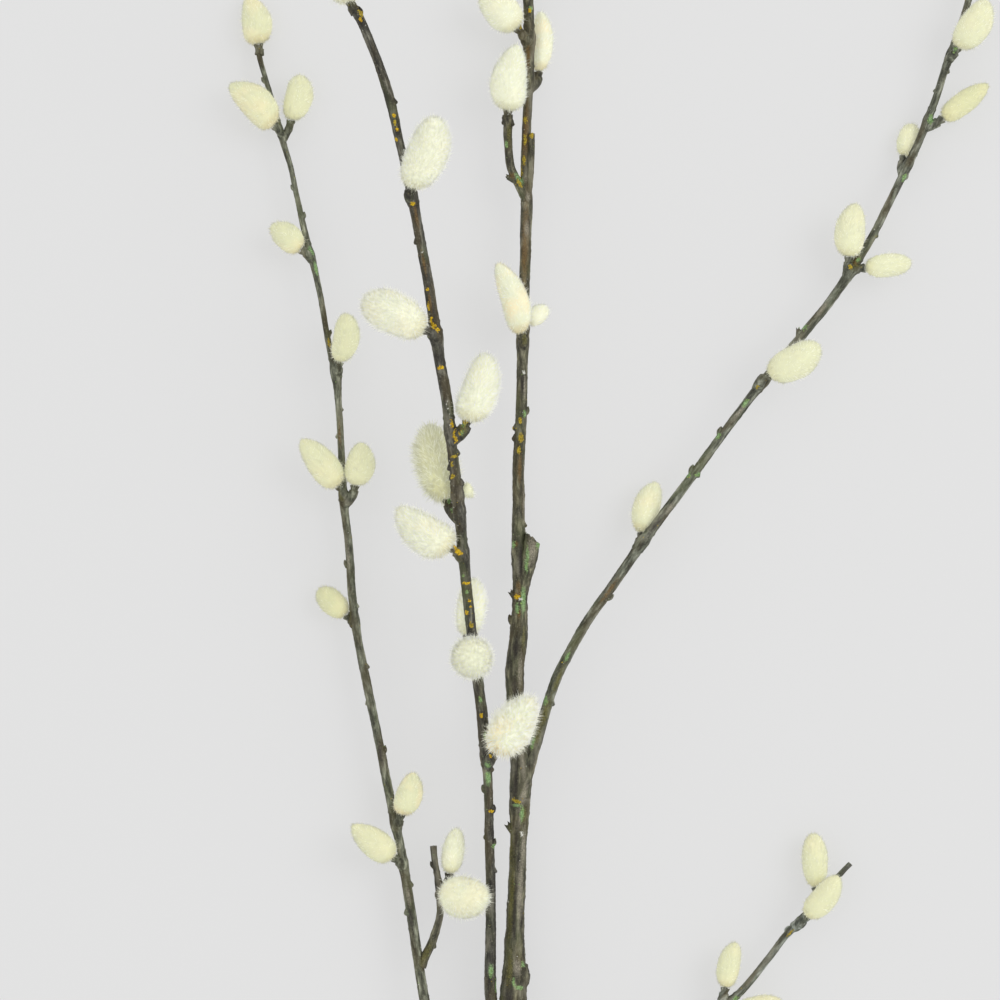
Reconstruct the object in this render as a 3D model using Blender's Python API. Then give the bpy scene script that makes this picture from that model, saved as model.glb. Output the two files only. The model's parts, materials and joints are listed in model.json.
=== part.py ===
"""Willow twig: one branching, catkin-bearing twig of pussy willow that lies on a surface.

The wood (stems, side twigs, spurs, buds and scars) is one piece, and every catkin is a
piece of its own that sits in the cup at the end of its spur. X runs across the twig,
+Y runs from the cut end to the tips, and Z is up from the surface at z = 0.
"""
import math
import random

import bmesh
import bpy
from mathutils import Vector

# Driving dimensions, in millimetres unless the name says otherwise
MM = 0.001
GAP = 0.3                     # clear space between a catkin and its cup
MIDDLE = (43, -69.52)         # place on the routes below that becomes x = 0, y = 0
RING_STEP = 12.0              # distance between two rings of a stem
NODE_REACH = 3.0              # half the length of the swelling at a node
NODE_SWELL = 1.22             # thickness of the stem at a node, against its neighbours
CUP_RADIUS = 2.1              # rim of the bud scale that holds a catkin
ROOT_RADIUS = 1.5             # thickness of a spur where it leaves its stem
CUP_DEPTH = 1.8               # height of the bud scale's cup
SPUR_SIDES = 6
CATKIN_FOOT = 1.5             # radius of a catkin's flat foot in its cup
CATKIN_SIDES = 10
CATKIN_RINGS = 5
TUFT_OUT = 1.0                # radius of the tufts' tips, against the catkin's outline
TUFT_IN = 0.86                # radius of the hollows between them
TUFT_LEAN = 0.045             # how far a tuft leans to the tip, against the length
CUT_SLANT = 22                # slant of the sawn end, in degrees
CUT_END_Y = -376.0            # where the saw went through the main stem's centre
SEED = 11

BARK = ("Willow bark", (0.075, 0.058, 0.042), 0.8)
FUR = ("Catkin fur", (0.80, 0.78, 0.60), 0.95)

# Stems: each point is x, y, height of the centre line and thickness there
STEMS = {
    "main": (8, [
        (-5.5, -380, 4.9, 11.2), (-2.5, -341, 5.2, 11), (1, -298, 8, 10.6), (3.5, -256, 11, 10.4),
        (4.5, -218, 13, 10.2), (5, -188, 14.5, 10.2), (5.5, -177, 15, 8.8), (5.5, -163, 15.5, 7.2),
        (6.5, -143, 16.3, 6.6), (7, -126, 16.8, 6.4), (7.5, -113, 17.2, 8.1), (8, -101, 17.4, 8.1),
        (6, -81, 17.5, 6.4), (5.5, -64, 17.5, 7.1), (7, -51, 17.5, 6.8), (7.5, -34, 17.5, 5.5),
        (7, -19, 17.3, 5.6), (7, -4, 17, 4.7), (7, 13, 16.7, 4.5), (8, 32, 16.5, 4.3),
        (8.5, 58, 16, 4.1), (9.5, 90, 15, 4.1), (10, 113, 14, 4.5), (9.5, 128, 13.5, 3.4),
        (10.5, 151, 12.8, 3.6), (11, 177, 12, 4.1), (10, 200, 11, 3.4), (8.5, 218.5, 9.5, 2.8)]),
    "main_side": (6, [
        (10, 112.5, 14, 3.4), (7, 119, 14.5, 3.4), (4, 126, 15, 3.2), (3, 136, 15.5, 3.2),
        (3, 145, 16, 3.6)]),
    "front": (8, [
        (2.5, -206, 14.5, 4.5), (-1, -196, 15.2, 4.5), (-3.5, -186, 16.3, 4.5), (-3.5, -165, 19.5, 4.1),
        (-3.5, -146, 23.5, 3.7), (-4, -123, 29, 3.5), (-4.5, -104, 33.5, 3.5), (-6, -88, 37.3, 4.1),
        (-7.5, -72, 41, 4.1), (-10.5, -49, 46, 3.9), (-12.5, -30, 50, 3.9), (-14.5, -9, 54.3, 4),
        (-16, 5.5, 57, 4), (-17.5, 18.5, 59, 3.8), (-19.5, 36.5, 62.3, 4.1), (-22, 51, 64.7, 4.1),
        (-23.5, 61.5, 66.2, 4.2), (-26, 78.5, 68, 3.8), (-29, 94.5, 69.5, 3.7), (-32, 111, 71, 3.6),
        (-36.5, 130, 72, 3.1), (-40, 145.5, 72.6, 3.6), (-44.5, 159.5, 73, 3.3), (-50, 173, 73, 3.3),
        (-54, 180, 73, 3.5)]),
    "left": (7, [
        (1, -302, 8.5, 4.5), (-4, -288, 10, 4.5), (-12, -260, 12, 4.3), (-20.5, -228, 13.5, 4.1),
        (-26.5, -199, 14, 4), (-30, -179, 14, 3.8), (-32.5, -162, 14, 3.8), (-35, -146, 13.5, 3.6),
        (-37.5, -131, 13.2, 3.2), (-40.5, -117, 12.8, 3.4), (-43.5, -102, 12.5, 3.4), (-46.5, -87, 12.2, 3.2),
        (-50.5, -68, 12, 3.4), (-54, -50, 12, 3), (-56, -33, 12, 3.2), (-57, -17, 12, 3),
        (-59, 0, 12, 3), (-60, 21, 11.6, 2.6), (-61, 37, 11.3, 2.6), (-62, 49, 11, 3.6),
        (-65, 60.5, 10.5, 2.3), (-67.5, 75.5, 10, 2.2), (-70.5, 89, 9.4, 2.4), (-73.5, 100, 8.8, 2.5),
        (-76.5, 113.5, 8.2, 2.1), (-79, 125, 7.8, 2), (-82, 135.5, 7.6, 2.3), (-86.5, 152, 7.3, 2),
        (-90.5, 165.5, 6.3, 2), (-91.5, 171.5, 5.8, 2.5)]),
    "left_side": (6, [
        (-29.5, -176, 14, 3.4), (-28, -171.5, 14.5, 3.4), (-25, -165, 15.5, 3.2), (-22.5, -155, 17, 2.6),
        (-23, -144.5, 18, 2.4), (-24.5, -136, 18.5, 2.4), (-25, -130, 18.7, 2.6)]),
    "right": (7, [
        (7, -113, 17.2, 4.5), (10, -103.5, 17.6, 4.7), (13, -93, 17.8, 4.5), (17, -79.5, 18, 3.9),
        (21, -67.5, 18, 3.8), (26.5, -56.5, 18, 3.7), (33.5, -44.5, 17.7, 3.7), (41.5, -33.5, 17.3, 3.7),
        (52.5, -17.5, 16.7, 3.8), (62.5, -4, 16, 3.6), (73.5, 10.5, 15.2, 3.5), (83, 23.5, 14.6, 3.3),
        (93.5, 37.5, 14, 3.4), (102.5, 48.5, 13.6, 3.4), (113, 61, 13.1, 3.5), (123, 73, 12.6, 3.4),
        (130.5, 83.5, 12.2, 3.6), (136, 92, 12, 3.2), (141, 100.5, 11.7, 3), (148, 114.5, 11.3, 2.9),
        (153.5, 125.5, 11, 3), (159, 137.5, 10.7, 2.9), (164.5, 151.5, 10.3, 2.8), (168, 162.5, 10, 2.8),
        (173.5, 177.5, 9.5, 2.6), (177, 189, 9, 2.6), (179.5, 201, 7, 2.3), (181, 208, 6.1, 2.3)]),
    "low": (7, [
        (2, -314, 7.5, 4.2), (7.5, -301.5, 8.5, 4.2), (20, -276.5, 10, 3.8), (36, -249, 11, 3.6),
        (54.5, -222.5, 11.5, 3.4), (71.5, -204.5, 11.5, 3.2), (84, -191.5, 11.3, 3.1), (91.5, -185, 11, 2.9),
        (101, -173.5, 10.5, 2.7), (107.5, -165, 10, 2.7), (114.5, -158, 9.5, 3), (121.5, -149.5, 9, 2.3),
        (129, -141, 8.5, 2.1), (132.5, -137.5, 8.2, 1.9)]),
}

# Old broken or sawn branches, which stand close along the main stem
SNAGS = {
    "broken_branch": (7, [(7, -38.5, 17.5, 4.9), (9, -28, 18, 5.3), (12, -18.5, 19, 4.5)]),
    "sawn_twin": (6, [(10, 112, 14.5, 3), (11.6, 124.5, 15, 2.4), (12, 138, 15, 2.4)]),
    "healed_knob": (7, [(5.5, -187, 14.5, 4.5), (8, -180, 15.5, 6.4), (8.8, -174.5, 16, 3.4)]),
}

# Catkins of each stem: foot in its cup, tip, and thickness
CATKINS = {
    "left": [
        ((-91.5, 172.5, 5.7), (-95.5, 191.5, 4.9), 12.5), ((-85.2, 141.3, 11.3), (-102, 157, 14.5), 13.6),
        ((-79, 143.5, 8.5), (-75, 161, 9.5), 11.5), ((-75, 94.5, 12), (-86.5, 104, 13), 11),
        ((-60.6, 52, 14.2), (-57.5, 70.5, 18), 11), ((-60.7, 5.3, 16), (-75, 23, 19.7), 12.5),
        ((-54.6, 5.5, 15.5), (-51.7, 22, 18), 12), ((-58, -43.5, 9.5), (-69, -33.5, 8), 10.3),
        ((-37.3, -118.5, 15.5), (-32.2, -102, 17.5), 11), ((-40, -134.5, 16), (-56, -122, 19), 12),
        ((-26, -224, 15.5), (-42, -212, 17.5), 11.5), ((-10.3, -252.5, 16.2), (-2, -237, 20), 11.2)],
    "left_side": [
        ((-19, -140.5, 17), (-16, -123, 17), 9.2), ((-20.8, -147.6, 21.9), (-4.6, -148, 33.8), 16.3)],
    "front": [
        ((-54.5, 181, 73), (-63, 203, 75), 15), ((-32.2, 113.5, 76.4), (-22.3, 138, 85.5), 15.5),
        ((-27.5, 62, 69.5), (-50, 73, 72), 15.5), ((-12, 29, 63), (-4.5, 53.5, 64), 14),
        ((-19.5, 0, 49.9), (-26.3, 27.5, 41.3), 15), ((-14.3, 5.2, 52.3), (-9.6, 0.8, 49.8), 6.5),
        ((-18, -17.5, 55.5), (-38, -3, 57), 15), ((-12, -50.5, 39.5), (-9.5, -29, 36), 11.2),
        ((-9, -60, 48), (-11.5, -55.5, 68), 15.5), ((-1.5, -93, 40), (12, -73, 46), 15)],
    "main": [
        ((6.5, 177.5, 15.5), (-7.5, 193, 18), 14), ((14.5, 162, 6.8), (15.5, 185.5, 4.6), 9),
        ((8, 62.5, 20.5), (-1, 89, 27), 11.3), ((10, 67, 12), (18.5, 73, 11), 8),
        ((8, 219.3, 9.4), (6.5, 239, 8.5), 13), ((14, 200.5, 12.5), (22.5, 217.5, 13), 12)],
    "main_side": [
        ((3, 146.5, 17.5), (6.5, 171, 23), 14.5)],
    "right": [
        ((172.5, 170.5, 13.5), (183.5, 188, 19), 13), ((167, 144, 11), (184.5, 157, 12), 9.5),
        ((153, 130, 5.7), (156.5, 143, 4.4), 9.3), ((131.4, 91.5, 15.1), (133.8, 112, 17), 12.3),
        ((137.5, 87.5, 13), (155.5, 89.5, 13), 9.8), ((101, 47, 19.1), (120, 58, 26), 13.7),
        ((53.6, -12.7, 12), (59.2, 7.2, 7.4), 11.4), ((181, 209.3, 5.9), (183, 230, 4.6), 12.8),
        ((175.5, 199.5, 9), (168, 215.5, 9), 11)],
    "low": [
        ((119.5, -146.5, 8.5), (118.5, -125.5, 8.5), 10.6), ((115.5, -157, 13.8), (127.5, -141, 19), 10.8),
        ((85, -184, 12), (89, -166.5, 12), 9.5), ((85.5, -197.5, 13.5), (106.5, -188.5, 15), 13),
        ((42, -230, 13), (43, -210.5, 13), 11)],
}

# Kinds of growth on the bark: lean away from the stem in degrees, then distance and radius of each ring
GROWTHS = {
    "bud": (24, [(-0.8, 1.0), (1.6, 1.25), (4.3, 0.3)]),
    "scar": (62, [(-1.2, 1.5), (0.9, 1.1)]),
    "stub": (42, [(-1.5, 1.3), (3.6, 1.05)]),
}

# Where they grow: y, angle round the stem (0 is its right side, 90 its upper side) and kind
MARKS = {
    "left": [
        (-154.5, 180, "scar"), (-144.5, 0, "scar"), (-95, 0, "bud"), (-76.5, 180, "scar"), (-63, 0, "scar"),
        (-39.5, 0, "scar"), (-25, 180, "bud"), (24, 180, "scar"), (34.5, 0, "scar"), (62, -20, "stub"),
        (106.5, 0, "bud"), (118, 180, "bud"), (158, 180, "bud")],
    "left_side": [(-167, 0, "scar"), (-138, 180, "bud")],
    "front": [
        (-138, 0, "scar"), (-129, 10, "bud"), (-126, 180, "scar"), (-116, 30, "bud"), (-108.5, 180, "bud"),
        (-100.5, 0, "scar"), (7, 10, "scar"), (8.5, 150, "scar"), (12, 180, "scar"), (17, 0, "scar"),
        (94, 180, "scar"), (145, 0, "scar"), (176, 0, "bud")],
    "main": [
        (-330, 25, "scar"), (-275, 170, "scar"), (-230, 60, "scar"), (-123.5, 180, "stub"), (-46.5, 180, "bud"),
        (-35.5, 170, "stub"), (-9.5, 0, "scar"), (23.5, 190, "scar"), (27.5, 180, "scar"), (33, 0, "bud")],
    "main_side": [(121.5, 180, "stub"), (142, 0, "scar")],
    "right": [
        (-75.5, 0, "scar"), (-36.5, 0, "bud"), (9.5, 180, "bud"), (10.5, 0, "scar"), (24.5, 180, "bud"),
        (62, 180, "stub"), (100, 0, "scar"), (121.5, 0, "bud"), (154.5, 180, "scar"), (162, 0, "scar")],
    "low": [(-163.5, 180, "bud")],
}

UP = Vector((0, 0, 1))
NORTH = Vector((0, 1, 0))


def frame_of(direction):
    """Two unit vectors square to a direction: to its right, and up as seen from there."""
    reference = NORTH if abs(direction.z) > 0.9 else UP
    right = direction.cross(reference).normalized()
    return right, right.cross(direction)


class Stem:
    """A smooth line through a stem's points, with the thickness along it."""

    def __init__(self, sides, route):
        self.sides = sides
        self.nodes = []
        points = [Vector(p) for p in route]
        points = [points[0] * 2 - points[1]] + points + [points[-1] * 2 - points[-2]]
        self.samples = []
        for a, b, c, d in zip(points, points[1:], points[2:], points[3:]):
            steps = max(2, round((c - b).length))
            for i in range(steps):
                t = i / steps
                self.samples.append(0.5 * (2 * b + (c - a) * t + (2 * a - 5 * b + 4 * c - d) * t ** 2
                                           + (3 * b - a - 3 * c + d) * t ** 3))
        self.samples.append(points[-2])
        self.along = [0.0]
        for p, q in zip(self.samples, self.samples[1:]):
            self.along.append(self.along[-1] + (q - p).to_3d().length)
        self.length = self.along[-1]

    def at(self, s):
        """Centre and thickness at a distance along the stem."""
        s = min(max(s, 0.0), self.length)
        i = next(k for k in range(1, len(self.along)) if self.along[k] >= s)
        t = (s - self.along[i - 1]) / (self.along[i] - self.along[i - 1])
        p = self.samples[i - 1].lerp(self.samples[i], t)
        return p.to_3d(), p.w

    def direction(self, s):
        return (self.at(s + 1)[0] - self.at(s - 1)[0]).normalized()

    def nearest(self, point):
        """Distance along the stem of its place nearest to a point."""
        gaps = [(p.to_3d() - point).length for p in self.samples]
        return self.along[gaps.index(min(gaps))]

    def at_y(self, y):
        gaps = [abs(p.y - y) for p in self.samples]
        return self.along[gaps.index(min(gaps))]

    def places(self):
        """Distances of the rings: even ones, and three at each node."""
        at_nodes = [s + d for s in self.nodes for d in (-NODE_REACH, 0, NODE_REACH)]
        count = max(2, round(self.length / RING_STEP))
        even = [self.length * i / count for i in range(count + 1)]
        clear = [s for s in even if all(abs(s - n) > NODE_REACH * 0.9 for n in at_nodes)]
        kept = sorted(clear + [s for s in at_nodes if 0 < s < self.length])
        ends = [0.0] + [s for s in kept if 2 < s < self.length - 2] + [self.length]
        return [s for s, after in zip(ends, ends[1:]) if after - s > 0.8] + [self.length]

    def swell(self, s):
        return NODE_SWELL if any(abs(s - n) < 0.1 for n in self.nodes) else 1.0


def make_object(name, bm, material, collection=None):
    """Turns a bmesh in millimetres into an object in metres."""
    mesh = bpy.data.meshes.new(name)
    bmesh.ops.recalc_face_normals(bm, faces=bm.faces)
    bmesh.ops.translate(bm, verts=bm.verts, vec=(-MIDDLE[0], -MIDDLE[1], 0))
    bmesh.ops.scale(bm, verts=bm.verts, vec=(MM, MM, MM))
    bm.to_mesh(mesh)
    bm.free()
    mesh.materials.append(material)
    obj = bpy.data.objects.new(name, mesh)
    (collection or bpy.context.scene.collection).objects.link(obj)
    return obj


def tube(rings, sides):
    """A closed tube through rings, each a centre, a direction and a radius."""
    bm = bmesh.new()
    loops = []
    for centre, direction, radius in rings:
        right, up = frame_of(direction)
        loop = []
        for j in range(sides):
            angle = math.tau * (j + 0.5) / sides
            loop.append(bm.verts.new(centre + radius * (math.cos(angle) * right + math.sin(angle) * up)))
        loops.append(loop)
    for low, high in zip(loops, loops[1:]):
        for j in range(sides):
            k = (j + 1) % sides
            bm.faces.new((low[j], low[k], high[k], high[j]))
    bm.faces.new(loops[0])
    bm.faces.new(loops[-1])
    return bm


def stem_tube(stem, rng):
    """A stem, a little uneven, and thicker at its nodes."""
    rings = []
    for s in stem.places():
        centre, thickness = stem.at(s)
        radius = thickness / 2 * stem.swell(s) * rng.uniform(0.97, 1.04)
        rings.append((centre, stem.direction(s), radius))
    return tube(rings, stem.sides)


def spur_tube(stem, foot, tip):
    """The short side shoot from a stem to a catkin's foot, ending in the cup of its bud scale."""
    foot = Vector(foot)
    out = (Vector(tip) - foot).normalized()
    s = stem.nearest(foot)
    reach = (stem.at(s)[0] - foot).length
    if s > stem.length - 2:
        root = stem.at(stem.length - 3)[0]
    else:
        root = stem.at(s - min(0.8 * reach, 5.0))[0]
    end = foot - out * GAP
    cup = end - out * CUP_DEPTH
    root -= out * max((root - cup).dot(out), 0.0)
    rise = (cup - root + out * 0.01).normalized()
    bm = bmesh.new()
    for centre, direction, radius in ((root, rise, ROOT_RADIUS), (cup, out, ROOT_RADIUS), (end, out, CUP_RADIUS)):
        right, up = frame_of(direction)
        for j in range(SPUR_SIDES):
            angle = math.tau * (j + 0.5) / SPUR_SIDES
            bm.verts.new(centre + radius * (math.cos(angle) * right + math.sin(angle) * up))
    wrap = bmesh.ops.convex_hull(bm, input=bm.verts)
    inside = {g for g in wrap["geom_interior"] + wrap["geom_unused"] if isinstance(g, bmesh.types.BMVert)}
    bmesh.ops.delete(bm, geom=list(inside), context="VERTS")
    return bm


def growth_tube(stem, y, angle, kind):
    """A bud, scar or stub on the bark of a stem."""
    lean, profile = GROWTHS[kind]
    s = stem.at_y(y)
    centre, thickness = stem.at(s)
    along = stem.direction(s)
    right, up = frame_of(along)
    outward = math.cos(math.radians(angle)) * right + math.sin(math.radians(angle)) * up
    lean = math.radians(lean)
    axis = math.cos(lean) * along + math.sin(lean) * outward
    root = centre + outward * (thickness / 2 - 0.35)
    size = math.sqrt(thickness / 3.6)
    rings = [(root + axis * distance * size, axis, radius * size) for distance, radius in profile]
    return tube(rings, 5)


def catkin_outline(t):
    """Radius of a catkin along its length, against its largest: full low down, blunt at the tip."""
    return math.sin(math.pi * t ** 0.82) ** 0.68


def catkin(foot, tip, thickness, rng):
    """An egg-shaped catkin whose fur stands in tufts that overlap towards the tip."""
    foot = Vector(foot)
    axis = Vector(tip) - foot
    length = axis.length
    axis.normalize()
    right, up = frame_of(axis)
    bend = right * rng.uniform(-0.05, 0.05) * length + up * rng.uniform(0.0, 0.04) * length
    bm = bmesh.new()
    foot_loop = []
    for j in range(CATKIN_SIDES):
        angle = math.tau * j / CATKIN_SIDES
        foot_loop.append(bm.verts.new(foot + CATKIN_FOOT * (math.cos(angle) * right + math.sin(angle) * up)))
    loops = [foot_loop]
    for k in range(CATKIN_RINGS):
        t = 0.1 + 0.78 * k / (CATKIN_RINGS - 1)
        loop = []
        for j in range(CATKIN_SIDES):
            proud = (j + k) % 2 == 0
            along = t + (TUFT_LEAN if proud else -TUFT_LEAN / 2) * (1 if k else 0.3)
            radius = thickness / 2 * catkin_outline(t) * (TUFT_OUT if proud else TUFT_IN)
            radius *= rng.uniform(0.97, 1.03)
            angle = math.tau * j / CATKIN_SIDES
            centre = foot + axis * along * length + bend * math.sin(math.pi * along)
            loop.append(bm.verts.new(centre + radius * (math.cos(angle) * right + math.sin(angle) * up)))
        loops.append(loop)
    for low, high in zip(loops, loops[1:]):
        for j in range(CATKIN_SIDES):
            k = (j + 1) % CATKIN_SIDES
            bm.faces.new((low[j], low[k], high[k]))
            bm.faces.new((low[j], high[k], high[j]))
    point = bm.verts.new(foot + axis * length)
    for j in range(CATKIN_SIDES):
        bm.faces.new((loops[-1][j], loops[-1][(j + 1) % CATKIN_SIDES], point))
    bm.faces.new(foot_loop)
    return bm


def flatten_underside(bm):
    """Cuts off what would reach below the surface, which leaves the flat that the piece lies on."""
    if min(v.co.z for v in bm.verts) < 0:
        cut_away(bm, Vector((0, 0, 0)), Vector((0, 0, -1)))


def cut_away(bm, point, outward):
    """Removes what lies beyond a plane and closes the cut with one flat face."""
    everything = bm.verts[:] + bm.edges[:] + bm.faces[:]
    cut = bmesh.ops.bisect_plane(bm, geom=everything, plane_co=point, plane_no=outward, clear_outer=True)
    edges = [g for g in cut["geom_cut"] if isinstance(g, bmesh.types.BMEdge)]
    bmesh.ops.contextual_create(bm, geom=edges)


def make_material(name, colour, roughness):
    material = bpy.data.materials.new(name)
    material.use_nodes = True
    shader = material.node_tree.nodes["Principled BSDF"]
    shader.inputs["Base Color"].default_value = (*colour, 1)
    shader.inputs["Roughness"].default_value = roughness
    return material


def make_wood(stems, material, rng):
    """All the wood as one piece: every stem, spur, bud, scar and stub joined to the main stem."""
    pieces = bpy.data.collections.new("wood pieces")
    bpy.context.scene.collection.children.link(pieces)
    trunk = make_object("branch", stem_tube(stems["main"], rng), material)
    for name, stem in stems.items():
        if name != "main":
            make_object("stem_" + name, stem_tube(stem, rng), material, pieces)
    for name, (sides, route) in SNAGS.items():
        make_object(name, stem_tube(Stem(sides, route), rng), material, pieces)
    for name, rows in CATKINS.items():
        for foot, tip, _ in rows:
            make_object("spur", spur_tube(stems[name], foot, tip), material, pieces)
    for name, rows in MARKS.items():
        for y, angle, kind in rows:
            make_object(kind, growth_tube(stems[name], y, angle, kind), material, pieces)
    join = trunk.modifiers.new("join", "BOOLEAN")
    join.operation = "UNION"
    join.operand_type = "COLLECTION"
    join.collection = pieces
    join.solver = "EXACT"
    bpy.context.view_layer.objects.active = trunk
    bpy.ops.object.modifier_apply(modifier=join.name)
    for obj in list(pieces.objects):
        bpy.data.objects.remove(obj)
    bpy.data.collections.remove(pieces)
    trim_wood(trunk)
    drop_scraps(trunk)


def trim_wood(trunk):
    """The slanted saw cut, and the flat under the thick end."""
    bm = bmesh.new()
    bm.from_mesh(trunk.data)
    slant = math.radians(CUT_SLANT)
    outward = Vector((math.sin(slant), -math.cos(slant), 0))
    saw = Vector((-5.5 - MIDDLE[0], CUT_END_Y - MIDDLE[1], 0)) * MM
    cut_away(bm, saw, outward)
    flatten_underside(bm)
    bm.to_mesh(trunk.data)
    bm.free()


def drop_scraps(trunk):
    """Keeps only the wood that hangs together, without the crumbs that joining can leave."""
    bm = bmesh.new()
    bm.from_mesh(trunk.data)
    bodies = []
    left = set(bm.verts)
    while left:
        body = {left.pop()}
        edge = list(body)
        while edge:
            vert = edge.pop()
            for link in vert.link_edges:
                other = link.other_vert(vert)
                if other in left:
                    left.remove(other)
                    body.add(other)
                    edge.append(other)
        bodies.append(body)
    bodies.sort(key=len)
    for body in bodies[:-1]:
        bmesh.ops.delete(bm, geom=list(body), context="VERTS")
    bm.to_mesh(trunk.data)
    bm.free()


def main():
    for obj in list(bpy.data.objects):
        bpy.data.objects.remove(obj)
    rng = random.Random(SEED)
    bark = make_material(*BARK)
    fur = make_material(*FUR)
    stems = {name: Stem(sides, route) for name, (sides, route) in STEMS.items()}
    for name, rows in CATKINS.items():
        for foot, _, _ in rows:
            s = stems[name].nearest(Vector(foot))
            if 6 < s < stems[name].length - 6:
                stems[name].nodes.append(max(s - 2.5, 4))
    make_wood(stems, bark, rng)
    for name, rows in CATKINS.items():
        for number, (foot, tip, thickness) in enumerate(rows, 1):
            bm = catkin(foot, tip, thickness, random.Random(f"{SEED} {name} {number}"))
            flatten_underside(bm)
            make_object(f"catkin_{name}_{number:02d}", bm, fur)


main()
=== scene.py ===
"""Willow twig: the looks of a catkin-bearing twig of pussy willow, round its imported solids.

Places are in millimetres on the twig's own layout. MIDDLE is the place on it that becomes
x = 0, y = 0 of the row, and Z is up from the surface that the twig lies on.
"""

import json
import math
import random

import bmesh
import bpy
import numpy as np
from mathutils import Matrix, Vector, noise
from mathutils.bvhtree import BVHTree
from mathutils.kdtree import KDTree

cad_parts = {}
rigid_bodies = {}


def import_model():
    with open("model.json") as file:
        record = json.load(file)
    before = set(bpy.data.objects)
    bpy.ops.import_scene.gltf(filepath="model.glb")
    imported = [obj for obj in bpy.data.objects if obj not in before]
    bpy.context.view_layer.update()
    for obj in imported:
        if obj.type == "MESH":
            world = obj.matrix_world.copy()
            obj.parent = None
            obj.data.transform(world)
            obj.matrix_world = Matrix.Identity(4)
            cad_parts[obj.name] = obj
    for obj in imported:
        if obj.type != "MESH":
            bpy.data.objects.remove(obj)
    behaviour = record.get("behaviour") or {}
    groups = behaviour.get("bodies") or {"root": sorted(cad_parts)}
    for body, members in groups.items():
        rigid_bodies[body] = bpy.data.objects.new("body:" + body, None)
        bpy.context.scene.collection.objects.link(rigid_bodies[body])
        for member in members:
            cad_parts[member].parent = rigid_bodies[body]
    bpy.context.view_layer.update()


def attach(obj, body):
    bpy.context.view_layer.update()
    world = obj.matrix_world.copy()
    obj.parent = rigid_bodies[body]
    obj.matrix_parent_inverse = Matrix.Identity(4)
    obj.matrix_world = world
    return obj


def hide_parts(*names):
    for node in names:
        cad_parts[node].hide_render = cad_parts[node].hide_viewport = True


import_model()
bpy.ops.object.select_all(action="DESELECT")
noise.seed_set(1)             # the tufts of the fur are the same each run

MM = 0.001
GAP = 0.3                     # clear space between a catkin and its cup
MIDDLE = (43, -69.52)
CUT_SLANT = 22                # slant of the sawn end, in degrees
CUT_END = (-5.5, -376.0)      # where the saw went through the main stem's centre
SAW_FACE = Vector((math.sin(math.radians(CUT_SLANT)), -math.cos(math.radians(CUT_SLANT)), 0))
CUP_DEPTH = 1.8               # height of a bud scale's cup
SPUR_RADIUS = 1.5             # what the spurs' radii are shares of
RING_STEP = 0.62              # distance between two rings of a stem
NECK_SIDES = 14
BARK_RELIEF = 0.12            # height of the bark's roughness on a 4 mm stem
FUR_DEPTH = 0.55              # how far the short fur stands off a catkin's body
HAIR_ROOT = 0.2               # how deep a hair starts in the body
SHORT_HAIRS = (0.9, 1.7)      # shortest and longest of the hairs that lie down
LOOSE_HAIRS = (1.3, 2.3)      # of those that stand out
LONG_HAIRS = (2.4, 3.8)       # and of the few that stand out furthest
BLEND = 40                    # length over which a side stem takes on its own bark
ABOVE = 120                   # a height above the whole twig
APART = 700                   # keeps the streaks of one stem from going on in the next
CAMERA_HEIGHT = 1650
VIEW_WIDTH = 380              # how much of the surface the photograph shows

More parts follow.
